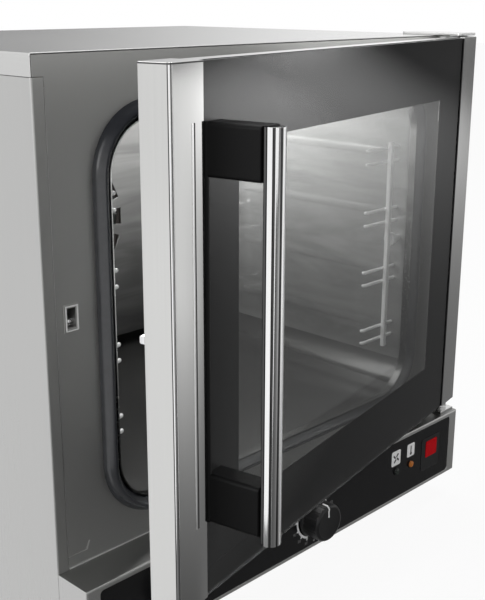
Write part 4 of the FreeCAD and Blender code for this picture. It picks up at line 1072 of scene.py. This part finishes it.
# Floor, studio light and camera
FLOOR_SIZE = 12.0
FLOOR_WHITE = 0.92
SKY_DIM = 0.45


def stage_piece(name, bm, material):
    """Object of the stage, which is no piece of the oven."""
    mesh = bpy.data.meshes.new(name)
    bm.to_mesh(mesh)
    bm.free()
    mesh.materials.append(material)
    piece = bpy.data.objects.new(name, mesh)
    bpy.context.scene.collection.objects.link(piece)
    return piece


def seen(tree):
    """One for what the camera or a mirror sees, and zero for light on a dull surface."""
    path = tree.nodes.new("ShaderNodeLightPath")
    return worked(tree, "MAXIMUM", path.outputs["Is Camera Ray"], path.outputs["Is Glossy Ray"])


floor_paint, tree, shader = finish("floor_paint", (0.9, 0.9, 0.9), 0.6)
clouds = grain(tree, (2.0, 2.0, 2.0), detail=2.0)
tint(tree, shader, clouds, (0.89, 0.89, 0.89), (0.91, 0.91, 0.91))
white = tree.nodes.new("ShaderNodeEmission")
white.inputs["Strength"].default_value = 1.0
share = worked(tree, "MULTIPLY", seen(tree), FLOOR_WHITE)
surfaced(tree, share, shader.outputs["BSDF"], white.outputs["Emission"])
bm = bmesh.new()
bmesh.ops.create_grid(bm, x_segments=1, y_segments=1, size=FLOOR_SIZE)
stage_piece("floor", bm, floor_paint)


# Cards that only reflections show, each dark with one soft bright band
def card(name, width, height, tilt, turn, at, band_turn, band_at, reach, base, peak, fade=None):
    """Flat card; the band runs along its own line, and fade gives the stops of its growth along that line."""
    paper, tree = finish(name + "_paper", (0.0, 0.0, 0.0), 0.9)[:2]
    coords = tree.nodes.new("ShaderNodeTexCoord")
    mapping = tree.nodes.new("ShaderNodeMapping")
    mapping.inputs["Rotation"].default_value = (0.0, 0.0, math.radians(band_turn))
    mapping.inputs["Location"].default_value = (*band_at, 0.0)
    split = tree.nodes.new("ShaderNodeSeparateXYZ")
    tree.links.new(coords.outputs["Object"], mapping.inputs["Vector"])
    tree.links.new(mapping.outputs["Vector"], split.inputs["Vector"])
    across = worked(tree, "ABSOLUTE", split.outputs["Y"])
    level = remapped(tree, across, (0.0, reach), (peak, 0.0), "SMOOTHSTEP")
    if fade:
        growth = remapped(tree, split.outputs["X"], fade, (0.0, 1.0), "SMOOTHSTEP")
        level = worked(tree, "MULTIPLY", level, growth)
    glow = tree.nodes.new("ShaderNodeEmission")
    tree.links.new(worked(tree, "ADD", level, base), glow.inputs["Strength"])
    path = tree.nodes.new("ShaderNodeLightPath")
    clear = tree.nodes.new("ShaderNodeBsdfTransparent")
    surfaced(tree, path.outputs["Glossy Depth"], clear.outputs["BSDF"], glow.outputs["Emission"])
    bm = bmesh.new()
    bmesh.ops.create_grid(bm, x_segments=1, y_segments=1, size=0.5)
    bmesh.ops.scale(bm, vec=(width, height, 1.0), verts=bm.verts)
    for degrees, axis in ((tilt, "X"), (turn, "Z")):
        spun = Matrix.Rotation(math.radians(degrees), 3, axis)
        bmesh.ops.rotate(bm, cent=(0, 0, 0), matrix=spun, verts=bm.verts)
    bmesh.ops.translate(bm, vec=at, verts=bm.verts)
    piece = stage_piece(name, bm, paper)
    piece.visible_camera = False
    piece.visible_shadow = False
    piece.visible_diffuse = False


card(
    "floor_card", width=24.6, height=19.7, tilt=0, turn=0, at=(11.7, -10.13, 0.002),
    band_turn=18.5, band_at=(0.151, 0.4935), reach=1.25, base=0.19, peak=2.4, fade=(0.9, 6.5)
)
card(
    "near_card", width=8.0, height=2.5, tilt=0, turn=-24.5, at=(2.831, -3.149, 0.004),
    band_turn=24.5, band_at=(0.118, 0.443), reach=3.0, base=0.1, peak=0.86, fade=(0.1, 1.5)
)
card(
    "rear_card", width=9.0, height=4.0, tilt=90, turn=-48.7, at=(3.76, 3.15, 2.0),
    band_turn=-41.3, band_at=(0.0, 1.0), reach=2.7, base=0.31, peak=0.79
)

world = bpy.data.worlds.new("studio")
bpy.context.scene.world = world
world.use_nodes = True
tree = world.node_tree
sky = tree.nodes["Background"]
sky.inputs["Color"].default_value = (1.0, 1.0, 1.0, 1.0)
tree.links.new(remapped(tree, seen(tree), (0.0, 1.0), (SKY_DIM, 1.0)), sky.inputs["Strength"])


def softbox(name, at, aim, width, height, watts):
    """Rectangular studio lamp at a point, facing another."""
    data = bpy.data.lights.new(name, "AREA")
    data.shape = "RECTANGLE"
    data.size = width
    data.size_y = height
    data.energy = watts
    lamp = bpy.data.objects.new(name, data)
    bpy.context.scene.collection.objects.link(lamp)
    lamp.location = at
    lamp.rotation_euler = (Vector(aim) - Vector(at)).to_track_quat("-Z", "Y").to_euler()
    return lamp


MIDDLE = (0.0, 0.0, 0.3)
FAN_LIGHT_IN = 6
softbox("left_softbox", at=(-2.2, 0.3, 1.4), aim=MIDDLE, width=1.6, height=1.6, watts=22.0)
softbox("top_softbox", at=(0.4, 0.2, 2.4), aim=MIDDLE, width=2.0, height=2.0, watts=26.0)
chamber_light = softbox(
    "chamber_light", at=(0.0, 0.02, 0.514), aim=(0.0, 0.02, 0.0), width=0.36, height=0.22, watts=1.25
)
fan_x, fan_z = middle(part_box("fan_guard"))
fan_from = (fan_x, (guard_low.y + FAN_LIGHT_IN) * MM, fan_z)
fan_to = (fan_x, guard_high.y * MM, fan_z)
fan_light = softbox("fan_light", at=fan_from, aim=fan_to, width=0.2, height=0.2, watts=0.025)
for lamp in (chamber_light, fan_light):
    lamp.visible_transmission = False

CAMERA_AT = Vector((-0.76464, -0.92145, 0.6223))
CAMERA_YAW = 45.75
CAMERA_PITCH = 16.61
CAMERA_ROLL = 0.15
LENS = 61.265
turn = Matrix.Rotation(math.radians(-CAMERA_YAW), 4, "Z")
tilt = Matrix.Rotation(math.radians(90 - CAMERA_PITCH), 4, "X")
roll = Matrix.Rotation(math.radians(CAMERA_ROLL), 4, "Z")
camera_data = bpy.data.cameras.new("camera")
camera_data.lens = LENS
camera_data.sensor_width = 36.0
camera_data.clip_start = 0.05
camera = bpy.data.objects.new("camera", camera_data)
bpy.context.scene.collection.objects.link(camera)
camera.matrix_world = Matrix.Translation(CAMERA_AT) @ turn @ tilt @ roll
bpy.context.scene.camera = camera
bpy.context.scene.view_settings.view_transform = "Standard"
